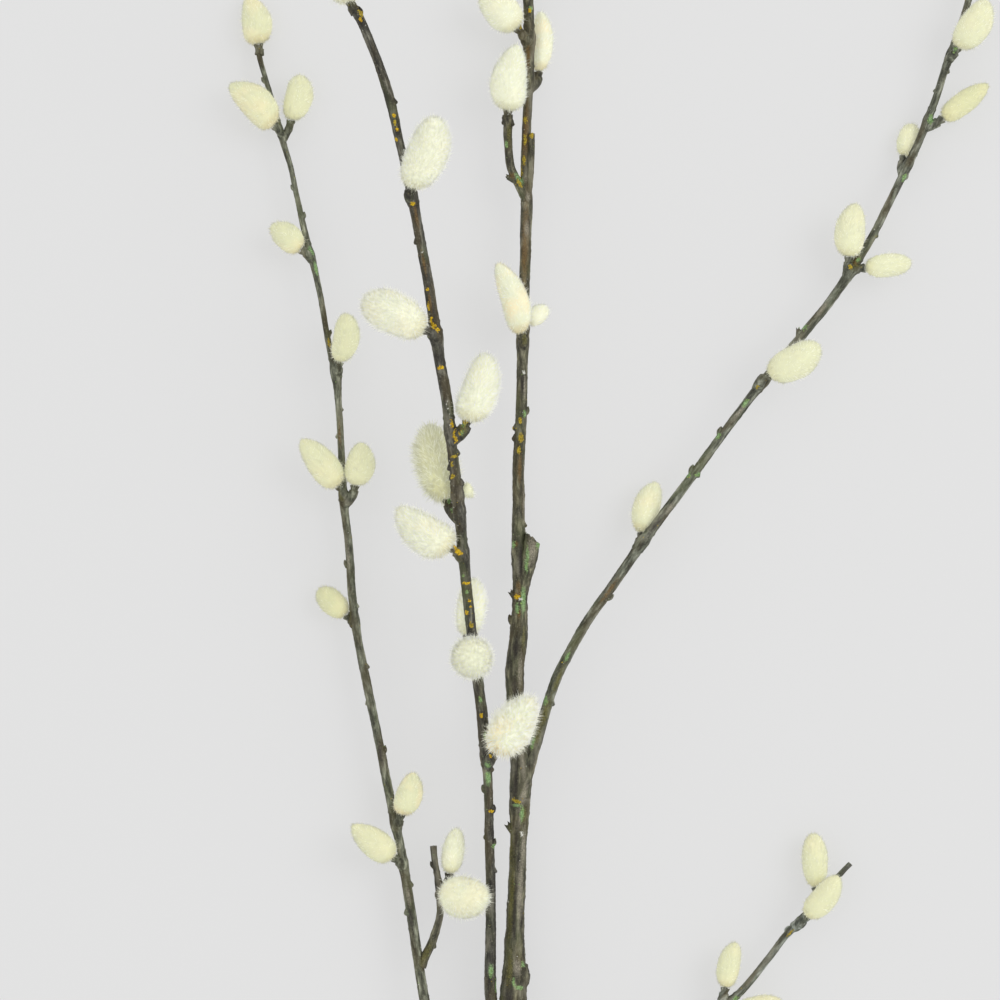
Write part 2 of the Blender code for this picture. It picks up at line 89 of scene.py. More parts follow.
# Stems: sides, how grey-olive the bark is from 0 to 1, then x, y, height and thickness along them
STEMS = {
    "main": (24, 0.3, [
        (-5.5, -380, 4.9, 11.2), (-2.5, -341, 5.2, 11), (1, -298, 8, 10.6), (3.5, -256, 11, 10.4),
        (4.5, -218, 13, 10.2), (5, -188, 14.5, 10.2), (5.5, -177, 15, 8.8), (5.5, -163, 15.5, 7.2),
        (6.5, -143, 16.3, 6.6), (7, -126, 16.8, 6.4), (7.5, -113, 17.2, 8.1), (8, -101, 17.4, 8.1),
        (6, -81, 17.5, 6.4), (5.5, -64, 17.5, 7.1), (7, -51, 17.5, 6.8), (7.5, -34, 17.5, 5.5),
        (7, -19, 17.3, 5.6), (7, -4, 17, 4.7), (7, 13, 16.7, 4.5), (8, 32, 16.5, 4.3),
        (8.5, 58, 16, 4.1), (9.5, 90, 15, 4.1), (10, 113, 14, 4.5), (9.5, 128, 13.5, 3.4),
        (10.5, 151, 12.8, 3.6), (11, 177, 12, 4.1), (10, 200, 11, 3.4), (8.5, 218.5, 9.5, 2.8)]),
    "main_side": (14, 0.0, [
        (10, 112.5, 14, 3.4), (7, 119, 14.5, 3.4), (4, 126, 15, 3.2), (3, 136, 15.5, 3.2),
        (3, 145, 16, 3.6)]),
    "front": (18, 0.0, [
        (2.5, -206, 14.5, 4.5), (-1, -196, 15.2, 4.5), (-3.5, -186, 16.3, 4.5), (-3.5, -165, 19.5, 4.1),
        (-3.5, -146, 23.5, 3.7), (-4, -123, 29, 3.5), (-4.5, -104, 33.5, 3.5), (-6, -88, 37.3, 4.1),
        (-7.5, -72, 41, 4.1), (-10.5, -49, 46, 3.9), (-12.5, -30, 50, 3.9), (-14.5, -9, 54.3, 4),
        (-16, 5.5, 57, 4), (-17.5, 18.5, 59, 3.8), (-19.5, 36.5, 62.3, 4.1), (-22, 51, 64.7, 4.1),
        (-23.5, 61.5, 66.2, 4.2), (-26, 78.5, 68, 3.8), (-29, 94.5, 69.5, 3.7), (-32, 111, 71, 3.6),
        (-36.5, 130, 72, 3.1), (-40, 145.5, 72.6, 3.6), (-44.5, 159.5, 73, 3.3), (-50, 173, 73, 3.3),
        (-54, 180, 73, 3.5)]),
    "left": (14, 0.9, [
        (1, -302, 8.5, 4.5), (-4, -288, 10, 4.5), (-12, -260, 12, 4.3), (-20.5, -228, 13.5, 4.1),
        (-26.5, -199, 14, 4), (-30, -179, 14, 3.8), (-32.5, -162, 14, 3.8), (-35, -146, 13.5, 3.6),
        (-37.5, -131, 13.2, 3.2), (-40.5, -117, 12.8, 3.4), (-43.5, -102, 12.5, 3.4), (-46.5, -87, 12.2, 3.2),
        (-50.5, -68, 12, 3.4), (-54, -50, 12, 3), (-56, -33, 12, 3.2), (-57, -17, 12, 3),
        (-59, 0, 12, 3), (-60, 21, 11.6, 2.6), (-61, 37, 11.3, 2.6), (-62, 49, 11, 3.6),
        (-65, 60.5, 10.5, 2.3), (-67.5, 75.5, 10, 2.2), (-70.5, 89, 9.4, 2.4), (-73.5, 100, 8.8, 2.5),
        (-76.5, 113.5, 8.2, 2.1), (-79, 125, 7.8, 2), (-82, 135.5, 7.6, 2.3), (-86.5, 152, 7.3, 2),
        (-90.5, 165.5, 6.3, 2), (-91.5, 171.5, 5.8, 2.5)]),
    "left_side": (12, 0.0, [
        (-29.5, -176, 14, 3.4), (-28, -171.5, 14.5, 3.4), (-25, -165, 15.5, 3.2), (-22.5, -155, 17, 2.6),
        (-23, -144.5, 18, 2.4), (-24.5, -136, 18.5, 2.4), (-25, -130, 18.7, 2.6)]),
    "right": (16, 0.75, [
        (7, -113, 17.2, 4.5), (10, -103.5, 17.6, 4.7), (13, -93, 17.8, 4.5), (17, -79.5, 18, 3.9),
        (21, -67.5, 18, 3.8), (26.5, -56.5, 18, 3.7), (33.5, -44.5, 17.7, 3.7), (41.5, -33.5, 17.3, 3.7),
        (52.5, -17.5, 16.7, 3.8), (62.5, -4, 16, 3.6), (73.5, 10.5, 15.2, 3.5), (83, 23.5, 14.6, 3.3),
        (93.5, 37.5, 14, 3.4), (102.5, 48.5, 13.6, 3.4), (113, 61, 13.1, 3.5), (123, 73, 12.6, 3.4),
        (130.5, 83.5, 12.2, 3.6), (136, 92, 12, 3.2), (141, 100.5, 11.7, 3), (148, 114.5, 11.3, 2.9),
        (153.5, 125.5, 11, 3), (159, 137.5, 10.7, 2.9), (164.5, 151.5, 10.3, 2.8), (168, 162.5, 10, 2.8),
        (173.5, 177.5, 9.5, 2.6), (177, 189, 9, 2.6), (179.5, 201, 7, 2.3), (181, 208, 6.1, 2.3)]),
    "low": (14, 1.0, [
        (2, -314, 7.5, 4.2), (7.5, -301.5, 8.5, 4.2), (20, -276.5, 10, 3.8), (36, -249, 11, 3.6),
        (54.5, -222.5, 11.5, 3.4), (71.5, -204.5, 11.5, 3.2), (84, -191.5, 11.3, 3.1), (91.5, -185, 11, 2.9),
        (101, -173.5, 10.5, 2.7), (107.5, -165, 10, 2.7), (114.5, -158, 9.5, 3), (121.5, -149.5, 9, 2.3),
        (129, -141, 8.5, 2.1), (132.5, -137.5, 8.2, 1.9)]),
}

# Old broken or sawn branches, which stand close along the main stem
SNAGS = {
    "broken_branch": (18, 0.9, [
        (7, -38.5, 17.5, 4.9), (9, -30, 18, 5.6), (11.4, -20, 19, 6), (13, -11, 19.5, 6)]),
    "sawn_twin": (14, 0.7, [(10, 112, 14.5, 3), (11.6, 124.5, 15, 2.4), (12, 138, 15, 2.4)]),
    "healed_knob": (16, 0.8, [(5.5, -187, 14.5, 4.5), (8, -180, 15.5, 6.4), (8.8, -174.5, 16, 3.4)]),
}

# How yellow-brown each stem's bark is, from 0 to 1
WARMTH = {"main": 0.85, "main_side": 0.8, "front": 0.3, "left": 0.5, "left_side": 0.6, "right": 0.35,
          "low": 0.0}

BREAK = ((13.3, -15.2, 19), (0.65, 0.76, 0.1))    # where and which way the broken branch ended

# Catkins of each stem: foot in its cup, tip, and thickness
CATKINS = {
    "left": [
        ((-91.5, 172.5, 5.7), (-95.5, 191.5, 4.9), 12.5), ((-85.2, 141.3, 11.3), (-102, 157, 14.5), 13.6),
        ((-79, 143.5, 8.5), (-75, 161, 9.5), 11.5), ((-75, 94.5, 12), (-86.5, 104, 13), 11),
        ((-60.6, 52, 14.2), (-57.5, 70.5, 18), 11), ((-60.7, 5.3, 16), (-75, 23, 19.7), 12.5),
        ((-54.6, 5.5, 15.5), (-51.7, 22, 18), 12), ((-58, -43.5, 9.5), (-69, -33.5, 8), 10.3),
        ((-37.3, -118.5, 15.5), (-32.2, -102, 17.5), 11), ((-40, -134.5, 16), (-56, -122, 19), 12),
        ((-26, -224, 15.5), (-42, -212, 17.5), 11.5), ((-10.3, -252.5, 16.2), (-2, -237, 20), 11.2)],
    "left_side": [
        ((-19, -140.5, 17), (-16, -123, 17), 9.2), ((-20.8, -147.6, 21.9), (-4.6, -148, 33.8), 16.3)],
    "front": [
        ((-54.5, 181, 73), (-63, 203, 75), 15), ((-32.2, 113.5, 76.4), (-22.3, 138, 85.5), 15.5),
        ((-27.5, 62, 69.5), (-50, 73, 72), 15.5), ((-12, 29, 63), (-4.5, 53.5, 64), 14),
        ((-19.5, 0, 49.9), (-26.3, 27.5, 41.3), 15), ((-14.3, 5.2, 52.3), (-9.6, 0.8, 49.8), 6.5),
        ((-18, -17.5, 55.5), (-38, -3, 57), 15), ((-12, -50.5, 39.5), (-9.5, -29, 36), 11.2),
        ((-9, -60, 48), (-11.5, -55.5, 68), 15.5), ((-1.5, -93, 40), (12, -73, 46), 15)],
    "main": [
        ((6.5, 177.5, 15.5), (-7.5, 193, 18), 14), ((14.5, 162, 6.8), (15.5, 185.5, 4.6), 9),
        ((8, 62.5, 20.5), (-1, 89, 27), 11.3), ((10, 67, 12), (18.5, 73, 11), 8),
        ((8, 219.3, 9.4), (6.5, 239, 8.5), 13), ((14, 200.5, 12.5), (22.5, 217.5, 13), 12)],
    "main_side": [
        ((3, 146.5, 17.5), (6.5, 171, 23), 14.5)],
    "right": [
        ((172.5, 170.5, 13.5), (183.5, 188, 19), 13), ((167, 144, 11), (184.5, 157, 12), 9.5),
        ((153, 130, 5.7), (156.5, 143, 4.4), 9.3), ((131.4, 91.5, 15.1), (133.8, 112, 17), 12.3),
        ((137.5, 87.5, 13), (155.5, 89.5, 13), 9.8), ((101, 47, 19.1), (120, 58, 26), 13.7),
        ((53.6, -12.7, 12), (59.2, 7.2, 7.4), 11.4), ((181, 209.3, 5.9), (183, 230, 4.6), 12.8),
        ((175.5, 199.5, 9), (168, 215.5, 9), 11)],
    "low": [
        ((119.5, -146.5, 8.5), (118.5, -125.5, 8.5), 10.6), ((115.5, -157, 13.8), (127.5, -141, 19), 10.8),
        ((85, -184, 12), (89, -166.5, 12), 9.5), ((85.5, -197.5, 13.5), (106.5, -188.5, 15), 13),
        ((42, -230, 13), (43, -210.5, 13), 11)],
}

# Growths on the bark: y, angle round the stem (0 is its right side, 90 its upper side) and kind
MARKS = {
    "left": [
        (-154.5, 180, "scar"), (-144.5, 0, "scar"), (-95, 0, "bud"), (-76.5, 180, "scar"), (-63, 0, "scar"),
        (-39.5, 0, "scar"), (-25, 180, "bud"), (24, 180, "scar"), (34.5, 0, "scar"), (62, -20, "stub"),
        (106.5, 0, "bud"), (118, 180, "bud"), (158, 180, "bud")],
    "left_side": [(-167, 0, "scar"), (-138, 180, "bud")],
    "front": [
        (-138, 0, "scar"), (-129, 10, "bud"), (-126, 180, "scar"), (-116, 30, "bud"), (-108.5, 180, "bud"),
        (-100.5, 0, "scar"), (7, 10, "scar"), (8.5, 150, "scar"), (12, 180, "scar"), (17, 0, "scar"),
        (94, 180, "scar"), (145, 0, "scar"), (176, 0, "bud")],
    "main": [
        (-330, 25, "scar"), (-275, 170, "scar"), (-230, 60, "scar"), (-123.5, 180, "stub"),
        (-46.5, 180, "bud"), (-35.5, 170, "stub"), (-9.5, 0, "scar"), (23.5, 190, "scar"),
        (27.5, 180, "scar"), (33, 0, "bud")],
    "main_side": [(121.5, 180, "stub"), (142, 0, "scar")],
    "right": [
        (-75.5, 0, "scar"), (-36.5, 0, "bud"), (9.5, 180, "bud"), (10.5, 0, "scar"), (24.5, 180, "bud"),
        (62, 180, "stub"), (100, 0, "scar"), (121.5, 0, "bud"), (154.5, 180, "scar"), (162, 0, "scar")],
    "low": [(-163.5, 180, "bud")],
}
LEANS = {"bud": 18, "scar": 62, "stub": 42}

# Fur of each stem's catkins, and of those that differ: yellow-green from 0 to 1, length, hairs on a
# square millimetre, and how far the longest ones stand out from 0 to 1
FUR = {
    "left": (0.75, 0.8, 4.6, 0.2), "left_side": (0.3, 0.9, 5, 0.3), "front": (0.08, 1.0, 9, 0.45),
    "main": (0.2, 0.85, 5, 0.25), "main_side": (0.1, 0.9, 5.5, 0.3), "right": (0.6, 0.8, 4.6, 0.2),
    "low": (0.75, 0.8, 4.6, 0.2), "front_05": (1.0, 1.3, 8, 1.0), "front_06": (0.5, 0.8, 6, 0.3),
    "front_10": (0.1, 1.3, 9, 0.95), "left_side_02": (0.3, 1.0, 6, 0.45), "left_08": (1.0, 0.8, 4.6, 0.2),
    "right_02": (1.0, 0.8, 4.6, 0.2), "main_04": (0.0, 0.8, 5, 0.2),
}

# Shape of each catkin: where it is widest, how pointed, its bend to the right, and its blush
SHAPES = {
    "left_01": (0.36, 0.6, 0.06, 0.5), "left_02": (0.38, 0.45, 0.07, 0.5), "left_03": (0.55, 0.2, 0.06, 0.1),
    "left_04": (0.42, 0.3, 0.03, 0.5), "left_05": (0.5, 0.1, 0.07, 0.1), "left_06": (0.36, 0.5, 0.02, 0.3),
    "left_07": (0.42, 0.35, 0.05, 0.1), "left_08": (0.5, 0.15, 0, 0.3), "left_09": (0.45, 0.5, 0.05, 0.8),
    "left_10": (0.36, 0.5, 0, 0.2), "left_side_01": (0.45, 0.3, 0, 0.2),
    "left_side_02": (0.38, 0.2, 0.04, 0.3), "front_01": (0.4, 0.4, 0.03, 0.2),
    "front_02": (0.47, 0, 0.04, 0.15), "front_03": (0.53, 0.05, 0.02, 0.3),
    "front_04": (0.36, 0, 0.05, 0.15), "front_05": (0.5, 0.1, -0.03, 0.1), "front_06": (0.3, 1, 0, 0.1),
    "front_07": (0.3, 0.35, -0.07, 0.3), "front_08": (0.5, 0.3, 0, 0.1), "front_09": (0.5, 0, 0, 0.15),
    "front_10": (0.38, 0.5, 0, 0.9), "main_01": (0.4, 0.4, 0, 0.2), "main_02": (0.5, 0.3, 0.05, 0.6),
    "main_03": (0.38, 0.35, 0.06, 0.8), "main_04": (0.45, 0.2, 0, 0.2),
    "main_side_01": (0.34, 0.5, -0.05, 0.1), "right_01": (0.5, 0.3, 0.05, 0.2),
    "right_02": (0.4, 0.4, 0, 0.2), "right_03": (0.5, 0.1, 0, 0.2), "right_04": (0.4, 0.25, -0.04, 0.2),
    "right_05": (0.5, 0.1, 0, 0.1), "right_06": (0.5, 0.2, 0.04, 0.1), "right_07": (0.45, 0.4, -0.05, 0.4),
    "low_01": (0.5, 0.1, 0, 0.3), "low_02": (0.45, 0.2, 0.04, 0.2), "low_03": (0.45, 0.1, -0.04, 0.3),
    "low_04": (0.4, 0.3, 0, 0.4),
}
COMMON_SHAPE = (0.42, 0.35, 0.0, 0.2)

# How stout some spurs are, and the others
STOUT_SPURS = {"front_03": 1.2, "front_04": 1.4, "front_05": 1.2, "front_07": 1.25, "front_10": 1.2}
COMMON_STOUT = 1.1

# Patches on the bark: x and y of each as it shows from above, its half length along the stem, and its half
# width across it. The first four kinds are the bark's own colours, save that the dark ones along the main
# stem's left side are painted shade and the bare ones along its right side and at its fork a painted
# highlight; the others grow on it.
PATCHES = {
    # Darker bark, and along the main stem's left side painted shade
    "dark": [
        (7.8, -23.4, 9, 1.0), (6, -55.9, 4.5, 1.7), (5.3, -69.6, 6, 1.2), (5.5, -108, 9, 1.4),
        (6.4, -126.7, 9, 1.2), (5.7, -150, 22, 0.9), (3.4, -187, 8, 2.2), (1.5, -215, 14, 1.4),
        (4.6, -38, 3, 1.1), (-4.8, -92, 5, 1), (-8.3, -70, 4, 1), (-24.5, 70, 5, 0.9), (8.2, 44, 8, 0.8),
        (-33.5, -158, 8, 1), (-45.2, -95, 7, 1), (58, -10, 8, 1), (110, 55, 7, 1.1), (152, 120, 7, 1),
        (131, -139.5, 6, 1.8), (-50, 178, 5, 1.2)],
    "olive": [
        (4.1, -130, 14, 1.4), (4.1, -151, 20, 1.4), (8.9, -51.7, 5, 0.9), (8.9, -118, 4, 1.4),
        (17, -80, 8, 1.8), (14, -88, 6, 1.6), (3.6, -176, 9, 1.6), (22, -67, 8, 1.2), (9.4, 60, 9, 1.2),
        (3.4, 138, 6, 1), (-13.4, 26.4, 3.6, 2), (-60, 1, 6, 1.4), (-56.6, -43, 4, 1.2),
        (133.6, 89, 3.4, 2.4), (-28, -171, 6, 1.4), (-84.5, 145, 5, 1)],
    "rust": [
        (9.6, 138, 14, 1.5), (9.4, 96, 20, 1.5), (6.8, -32.3, 2.4, 1.3), (7.1, -42.7, 2.5, 0.8),
        (4.5, 122, 1.6, 1.5), (6.8, -35.2, 1, 2), (6.1, -16.5, 1.4, 0.9), (10.6, 168, 9, 1), (7.4, 12, 7, 1),
        (-30.5, 104, 7, 0.7), (-27.6, 86, 6, 0.7), (-25.4, 72, 5, 0.6), (41, -34, 7, 1), (134, 90, 3, 1.3),
        (-60.6, 25, 6, 0.8)],
    # Paler bare bark, and on the main stem's right side and at its fork a painted highlight
    "bare_bark_and_highlight": [
        (12, -19.2, 7, 2), (7.6, -64.1, 7.5, 1.2), (8.6, -100, 6, 1.1), (8.8, -111, 8, 1.3),
        (8.8, -130, 9, 1.3), (7.6, -146, 15, 1.3), (6.6, -175.6, 3.4, 1.8), (10, 102, 3.4, 1.1),
        (10.5, 114, 1.8, 1), (8.9, -1, 6, 0.7), (9.3, 42, 6, 0.6), (-34.5, -149, 5, 0.8),
        (-57.2, -22, 6, 0.7), (90, 33, 6, 0.8), (64, -3, 3, 1), (2, -300, 20, 2), (121, 71.6, 4, 1)],
    "orange": [
        (-25.2, 65.2, 1.5, 0.8), (-24.2, 63.2, 1.1, 1.5), (-22.9, 61.9, 0.8, 1.8), (-21.6, 48.2, 0.7, 2.1),
        (-17.3, 27.6, 2, 0.7), (-17, 24.4, 2, 0.9), (-16.1, 21.4, 2.2, 0.8), (-16.3, -17.2, 1.3, 0.8),
        (-15.6, -18.6, 1.1, 1.4), (-14.3, -19.7, 0.8, 1.7), (-12.3, -30.7, 0.65, 2.4),
        (-11.1, -37.2, 0.5, 0.8), (-12.6, -41.7, 0.9, 0.8), (-10.6, -39.4, 0.4, 0.5),
        (-38.4, 139.6, 0.8, 0.9), (-37.2, 134.4, 0.8, 0.9), (-50.6, 174.4, 0.9, 0.8),
        (-26.6, 76.5, 0.6, 0.7), (-31.6, 107.3, 1, 1.4), (-26.2, 70.4, 2.2, 0.5), (-7, -80.2, 0.9, 0.9),
        (-3.4, -80, 1, 1), (-4, -92.3, 0.9, 1), (-3.6, -94.6, 1.3, 0.8), (-3.2, -116.1, 0.9, 1),
        (6.2, -36.4, 1.2, 1.6), (11.3, 184.5, 1, 1), (3, -90.6, 0.8, 0.8), (-38, 131, 0.8, 0.7)],
    "amber": [
        (-13, 28.6, 1.5, 1.2), (-14.6, 24.2, 1, 1), (-16.6, 15.9, 0.7, 2), (-17.6, 8.6, 1, 1.3),
        (-17.8, 13, 1.2, 0.6), (-13.4, 29.6, 0.9, 1.6), (-10.4, -46.2, 1.3, 1.2), (-7.5, -62.5, 1.3, 0.7),
        (5.9, -112.9, 0.9, 2.6), (7.9, 23.3, 2.2, 1.3), (7.1, 18.8, 1.8, 1), (7.5, 30.1, 1.4, 1),
        (7.5, 179.2, 1.6, 0.9), (7.9, 123.6, 3, 0.9), (7.5, 119.1, 2.4, 0.9), (11.9, 137.2, 1.1, 1.3),
        (9.4, 143.3, 1.6, 0.9), (9.4, 135.7, 2.6, 0.9), (9, 128.1, 2, 0.9), (109.5, -163.5, 2, 0.6),
        (-64.4, 59, 2.4, 0.8), (132, 87.6, 1.2, 1.4), (96.5, 42.2, 1, 0.8), (-50.4, 176.6, 1.8, 1.1),
        (-38.2, 136.8, 1.6, 0.7)],
    "green": [
        (-13.2, 27.6, 1.3, 1), (-13.9, 24.4, 1.3, 0.8), (-3.8, -80.8, 0.8, 0.7), (-18.8, 0, 1.4, 1),
        (-17.6, -3.4, 1.6, 1), (-13.8, -28, 0.6, 0.6), (-12.2, -34, 0.8, 0.8), (-7.2, -74.1, 1.2, 0.8),
        (-5.4, -87.3, 1.6, 0.9), (-4.6, -98.7, 2.2, 1.5), (-4.4, -103.4, 3.4, 1.4), (-2.1, -129.2, 1.4, 1),
        (-3.4, -176.8, 3, 1.2), (-0.8, -182.9, 3, 1.4), (14.6, -16.8, 2, 1.8), (9.8, -25, 3.5, 0.8),
        (8.3, -117.8, 3.6, 1), (9.4, 32.4, 1.6, 0.9), (8.8, -37.5, 6.4, 1.3), (6.4, -40.7, 2.4, 0.9),
        (10.3, -20.7, 4, 0.8), (6.2, -114.6, 0.7, 2.4), (7.3, 121, 3, 1.5), (12.2, -91, 3, 1),
        (2.3, 133.8, 1.6, 0.9), (11.7, 185.2, 1, 1), (8.7, -174.6, 1.4, 1), (7.2, -183.2, 0.9, 2.6),
        (5.2, -181, 2, 0.7), (4.9, -16.9, 1.6, 1), (25.2, -59, 2.4, 0.9), (92.3, 36.5, 2, 1.2),
        (81.4, 24.5, 1.8, 1), (70.8, 9.4, 1.4, 1), (74.5, 9.4, 1.4, 1), (114.6, 65.2, 1.6, 1.2),
        (152.5, 121.5, 2, 1), (135, 90.6, 1.2, 0.9), (162.6, 143.8, 2.4, 1.4), (16.9, -75.2, 2.4, 1.2),
        (-71.4, 93.6, 2.6, 1.5), (-69.4, 87.4, 3.4, 1), (88.7, -188.3, 1.8, 1.2), (-87.4, 153, 2.4, 0.8),
        (171.4, 170, 2, 1)],
    "pale": [
        (-19.7, 34.7, 0.35, 0.35), (-19, 33.3, 0.3, 0.35), (-19.3, 35.9, 0.25, 0.3), (-18.3, 27.5, 0.4, 0.3),
        (8.3, -125.3, 1.4, 0.8), (9, 47.8, 1, 0.8), (-28.2, 90.4, 0.5, 0.4), (-1, -150.5, 0.6, 0.5),
        (7.7, -37.2, 0.7, 1.1)],
}
FLAKES = {"orange": 16, "amber": 13, "green": 9, "pale": 5}           # lumps in a patch
STRAY_FLAKES = {"orange": 60, "amber": 160, "green": 320, "pale": 200}

UP = Vector((0, 0, 1))
NORTH = Vector((0, 1, 0))


# Places and shapes

def place(point):
    """A place on the layout, in millimetres, as one in the row, in metres."""
    return Vector((point[0] - MIDDLE[0], point[1] - MIDDLE[1], point[2])) * MM


def frame_of(direction):
    """Two unit vectors square to a direction: to its right, and up as seen from there."""
    reference = NORTH if abs(direction.z) > 0.9 else UP
    right = direction.cross(reference).normalized()
    return right, right.cross(direction)


def turned_to(direction, where, roll=0.0, size=1.0):
    """The matrix that stands a model, made upright at the origin, at a place of the layout."""
    turn = direction.to_track_quat("Z", "Y").to_matrix().to_4x4()
    return Matrix.Translation(place(where)) @ turn @ Matrix.Rotation(roll, 4, "Z") @ Matrix.Scale(size, 4)


class Stem:
    """A smooth line through a stem's points, with the thickness along it."""

    def __init__(self, sides, tone, route):
        self.sides = sides
        self.tone = tone
        self.nodes = []
        points = [Vector(p) for p in route]
        points = [points[0] * 2 - points[1]] + points + [points[-1] * 2 - points[-2]]
        self.samples = []
        for a, b, c, d in zip(points, points[1:], points[2:], points[3:]):
            steps = max(2, round((c - b).length))
            for i in range(steps):
                t = i / steps
                self.samples.append(0.5 * (2 * b + (c - a) * t + (2 * a - 5 * b + 4 * c - d) * t ** 2
                                           + (3 * b - a - 3 * c + d) * t ** 3))
        self.samples.append(points[-2])
        self.along = [0.0]
        for p, q in zip(self.samples, self.samples[1:]):
            self.along.append(self.along[-1] + (q - p).to_3d().length)
        self.length = self.along[-1]

    def at(self, s):
        """Centre and thickness at a distance along the stem."""
        s = min(max(s, 0.0), self.length)
        i = min(int(np.searchsorted(self.along, s)), len(self.along) - 1)
        i = max(i, 1)
        t = (s - self.along[i - 1]) / (self.along[i] - self.along[i - 1])
        p = self.samples[i - 1].lerp(self.samples[i], t)
        return p.to_3d(), p.w

    def direction(self, s):
        return (self.at(s + 1)[0] - self.at(s - 1)[0]).normalized()

    def nearest(self, point):
        """Distance along the stem of its place nearest to a point."""
        gaps = [(p.to_3d() - point).length for p in self.samples]
        return self.along[gaps.index(min(gaps))]

    def at_y(self, y):
        gaps = [abs(p.y - y) for p in self.samples]
        return self.along[gaps.index(min(gaps))]

    def swell(self, s):
        """How much thicker the stem is near its nodes: a slow rise, and a quick fall past the ridge."""
        grown = 0.0
        for n in self.nodes:
            reach = 4.2 if s < n else 2.0
            grown = max(grown, 0.27 * math.exp(-((s - n) / reach) ** 2))
            grown = max(grown, 0.17 * math.exp(-((s - n - 4.2) / 0.45) ** 2))
        return 1.0 + grown


def take(obj):
    """Selects one object alone and makes it the active one."""
    bpy.ops.object.select_all(action="DESELECT")
    obj.select_set(True)
    bpy.context.view_layer.objects.active = obj


def edit(obj):
    """Opens one object in edit mode, with all of it selected."""
    take(obj)
    bpy.ops.object.mode_set(mode="EDIT")
    bpy.ops.mesh.select_all(action="SELECT")


def cut_off(where, facing):
    """In edit mode, cuts off all that lies past a plane, and fills the cut."""
    bpy.ops.mesh.select_all(action="SELECT")
    bpy.ops.mesh.bisect(plane_co=where, plane_no=facing, use_fill=True, clear_outer=True)


def values(items, name):
    """One kind of value of all the items, a row for each."""
    return np.array([getattr(item, name)[:] for item in items])


def fix_order(mesh):
    """Puts the faces of a new ball in one order, so that each run draws the same random places on it."""
    corners = [v.co.copy() for v in mesh.vertices]
    faces = []
    for polygon in mesh.polygons:
        face = list(polygon.vertices)
        first = face.index(min(face))
        faces.append(face[first:] + face[:first])
    mesh.clear_geometry()
    mesh.from_pydata(corners, [], sorted(faces))


def surface_of(mesh):
    return BVHTree.FromPolygons([v.co for v in mesh.vertices], [p.vertices for p in mesh.polygons])


def pick_faces(obj, wanted):
    """In edit mode, selects the faces for which wanted(face) holds, and no others."""
    bpy.ops.mesh.select_mode(type="FACE")
    bm = bmesh.from_edit_mesh(obj.data)
    for face in bm.faces:
        face.select_set(wanted(face))
    bmesh.update_edit_mesh(obj.data)


def rod(name, points, sides):
    """A closed round rod along points of (place, radius), both in millimetres."""
    bpy.ops.curve.primitive_nurbs_path_add()
    obj = bpy.context.object
    obj.name = name
    curve = obj.data
    curve.splines.clear()
    line = curve.splines.new("POLY")
    line.points.add(len(points) - 1)
    for knot, (where, radius) in zip(line.points, points):
        knot.co = (*place(where), 1)
        knot.radius = radius
    curve.bevel_depth = MM
    curve.bevel_resolution = (sides - 4) // 2
    curve.use_fill_caps = True
    take(obj)
    bpy.ops.object.convert(target="MESH")
    edit(obj)
    bpy.ops.mesh.remove_doubles(threshold=1e-6)
    bpy.ops.mesh.normals_make_consistent(inside=False)
    bpy.ops.object.mode_set(mode="OBJECT")
    return obj


def stem_rod(name, stem, rng):
    """A stem, uneven along its length and thicker at its nodes."""
    count = round(stem.length / RING_STEP)
    drift = rng.uniform(0, 900)
    points = []
    for i in range(count + 1):
        s = stem.length * i / count
        centre, thickness = stem.at(s)
        uneven = 1 + 0.045 * noise.noise((s / 7, drift, 0)) + 0.03 * noise.noise((s / 2.2, drift, 9))
        sway = Vector((noise.noise((s / 9, drift, 20)), 0, noise.noise((s / 9, drift, 40))))
        sway *= 0.045 * thickness
        points.append((centre + sway, thickness / 2 * stem.swell(s) * uneven))
    return rod(name, points, stem.sides)


def write_attribute(mesh, name, rows):
    """Writes one value or one vector for each point of a mesh."""
    kind, key = ("FLOAT_VECTOR", "vector") if rows.ndim == 2 else ("FLOAT", "value")
    mesh.attributes.new(name, kind, "POINT").data.foreach_set(key, rows.ravel())


def copy_of(model, matrix, collection):
    """A copy of a model with its own mesh, which holds its place."""
    mesh = model.data.copy()
    mesh.transform(matrix)
    obj = bpy.data.objects.new(model.name, mesh)
    collection.objects.link(obj)
    return obj


# Models that repeat, each made once, upright at the origin

def begin(name):
    """Names the new primitive, applies its place, and picks its top face in edit mode."""
    obj = bpy.context.object
    obj.name = name
    bpy.ops.object.transform_apply(location=True, rotation=False, scale=False)
    bpy.ops.object.mode_set(mode="EDIT")
    pick_faces(obj, lambda face: face.normal.z > 0.9)
    return obj


def sink(inward, down):
    """Insets the picked face and moves it down, in millimetres."""
    bpy.ops.mesh.inset(thickness=inward * MM)
    bpy.ops.transform.translate(value=(0, 0, -down * MM))


def cup_model():
    """The cup of a bud scale: a collar that widens to a thin ragged rim round a shallow hollow."""
    bpy.ops.mesh.primitive_cylinder_add(vertices=16, radius=1.42 * MM, depth=1.3 * MM,
                                        location=(0, 0, -1.75 * MM))
    cup = begin("bud_scale_cup")
    for rise, spread in ((0.45, 1.12), (0.4, 1.1), (0.45, 1.02)):
        bpy.ops.mesh.extrude_region_move(TRANSFORM_OT_translate={"value": (0, 0, rise * MM)})
        bpy.ops.transform.resize(value=(spread, spread, 1))
    sink(0.3, 0.5)
    sink(0.5, 0.5)
    bpy.ops.object.mode_set(mode="OBJECT")
    rng = random.Random(5)
    rim = max(v.co.z for v in cup.data.vertices)
    for v in cup.data.vertices:
        if v.co.z > rim - 0.05 * MM:
            v.co.z += rng.uniform(-0.3, 0.35) * MM
            v.co.xy *= rng.uniform(0.93, 1.07)
    return cup


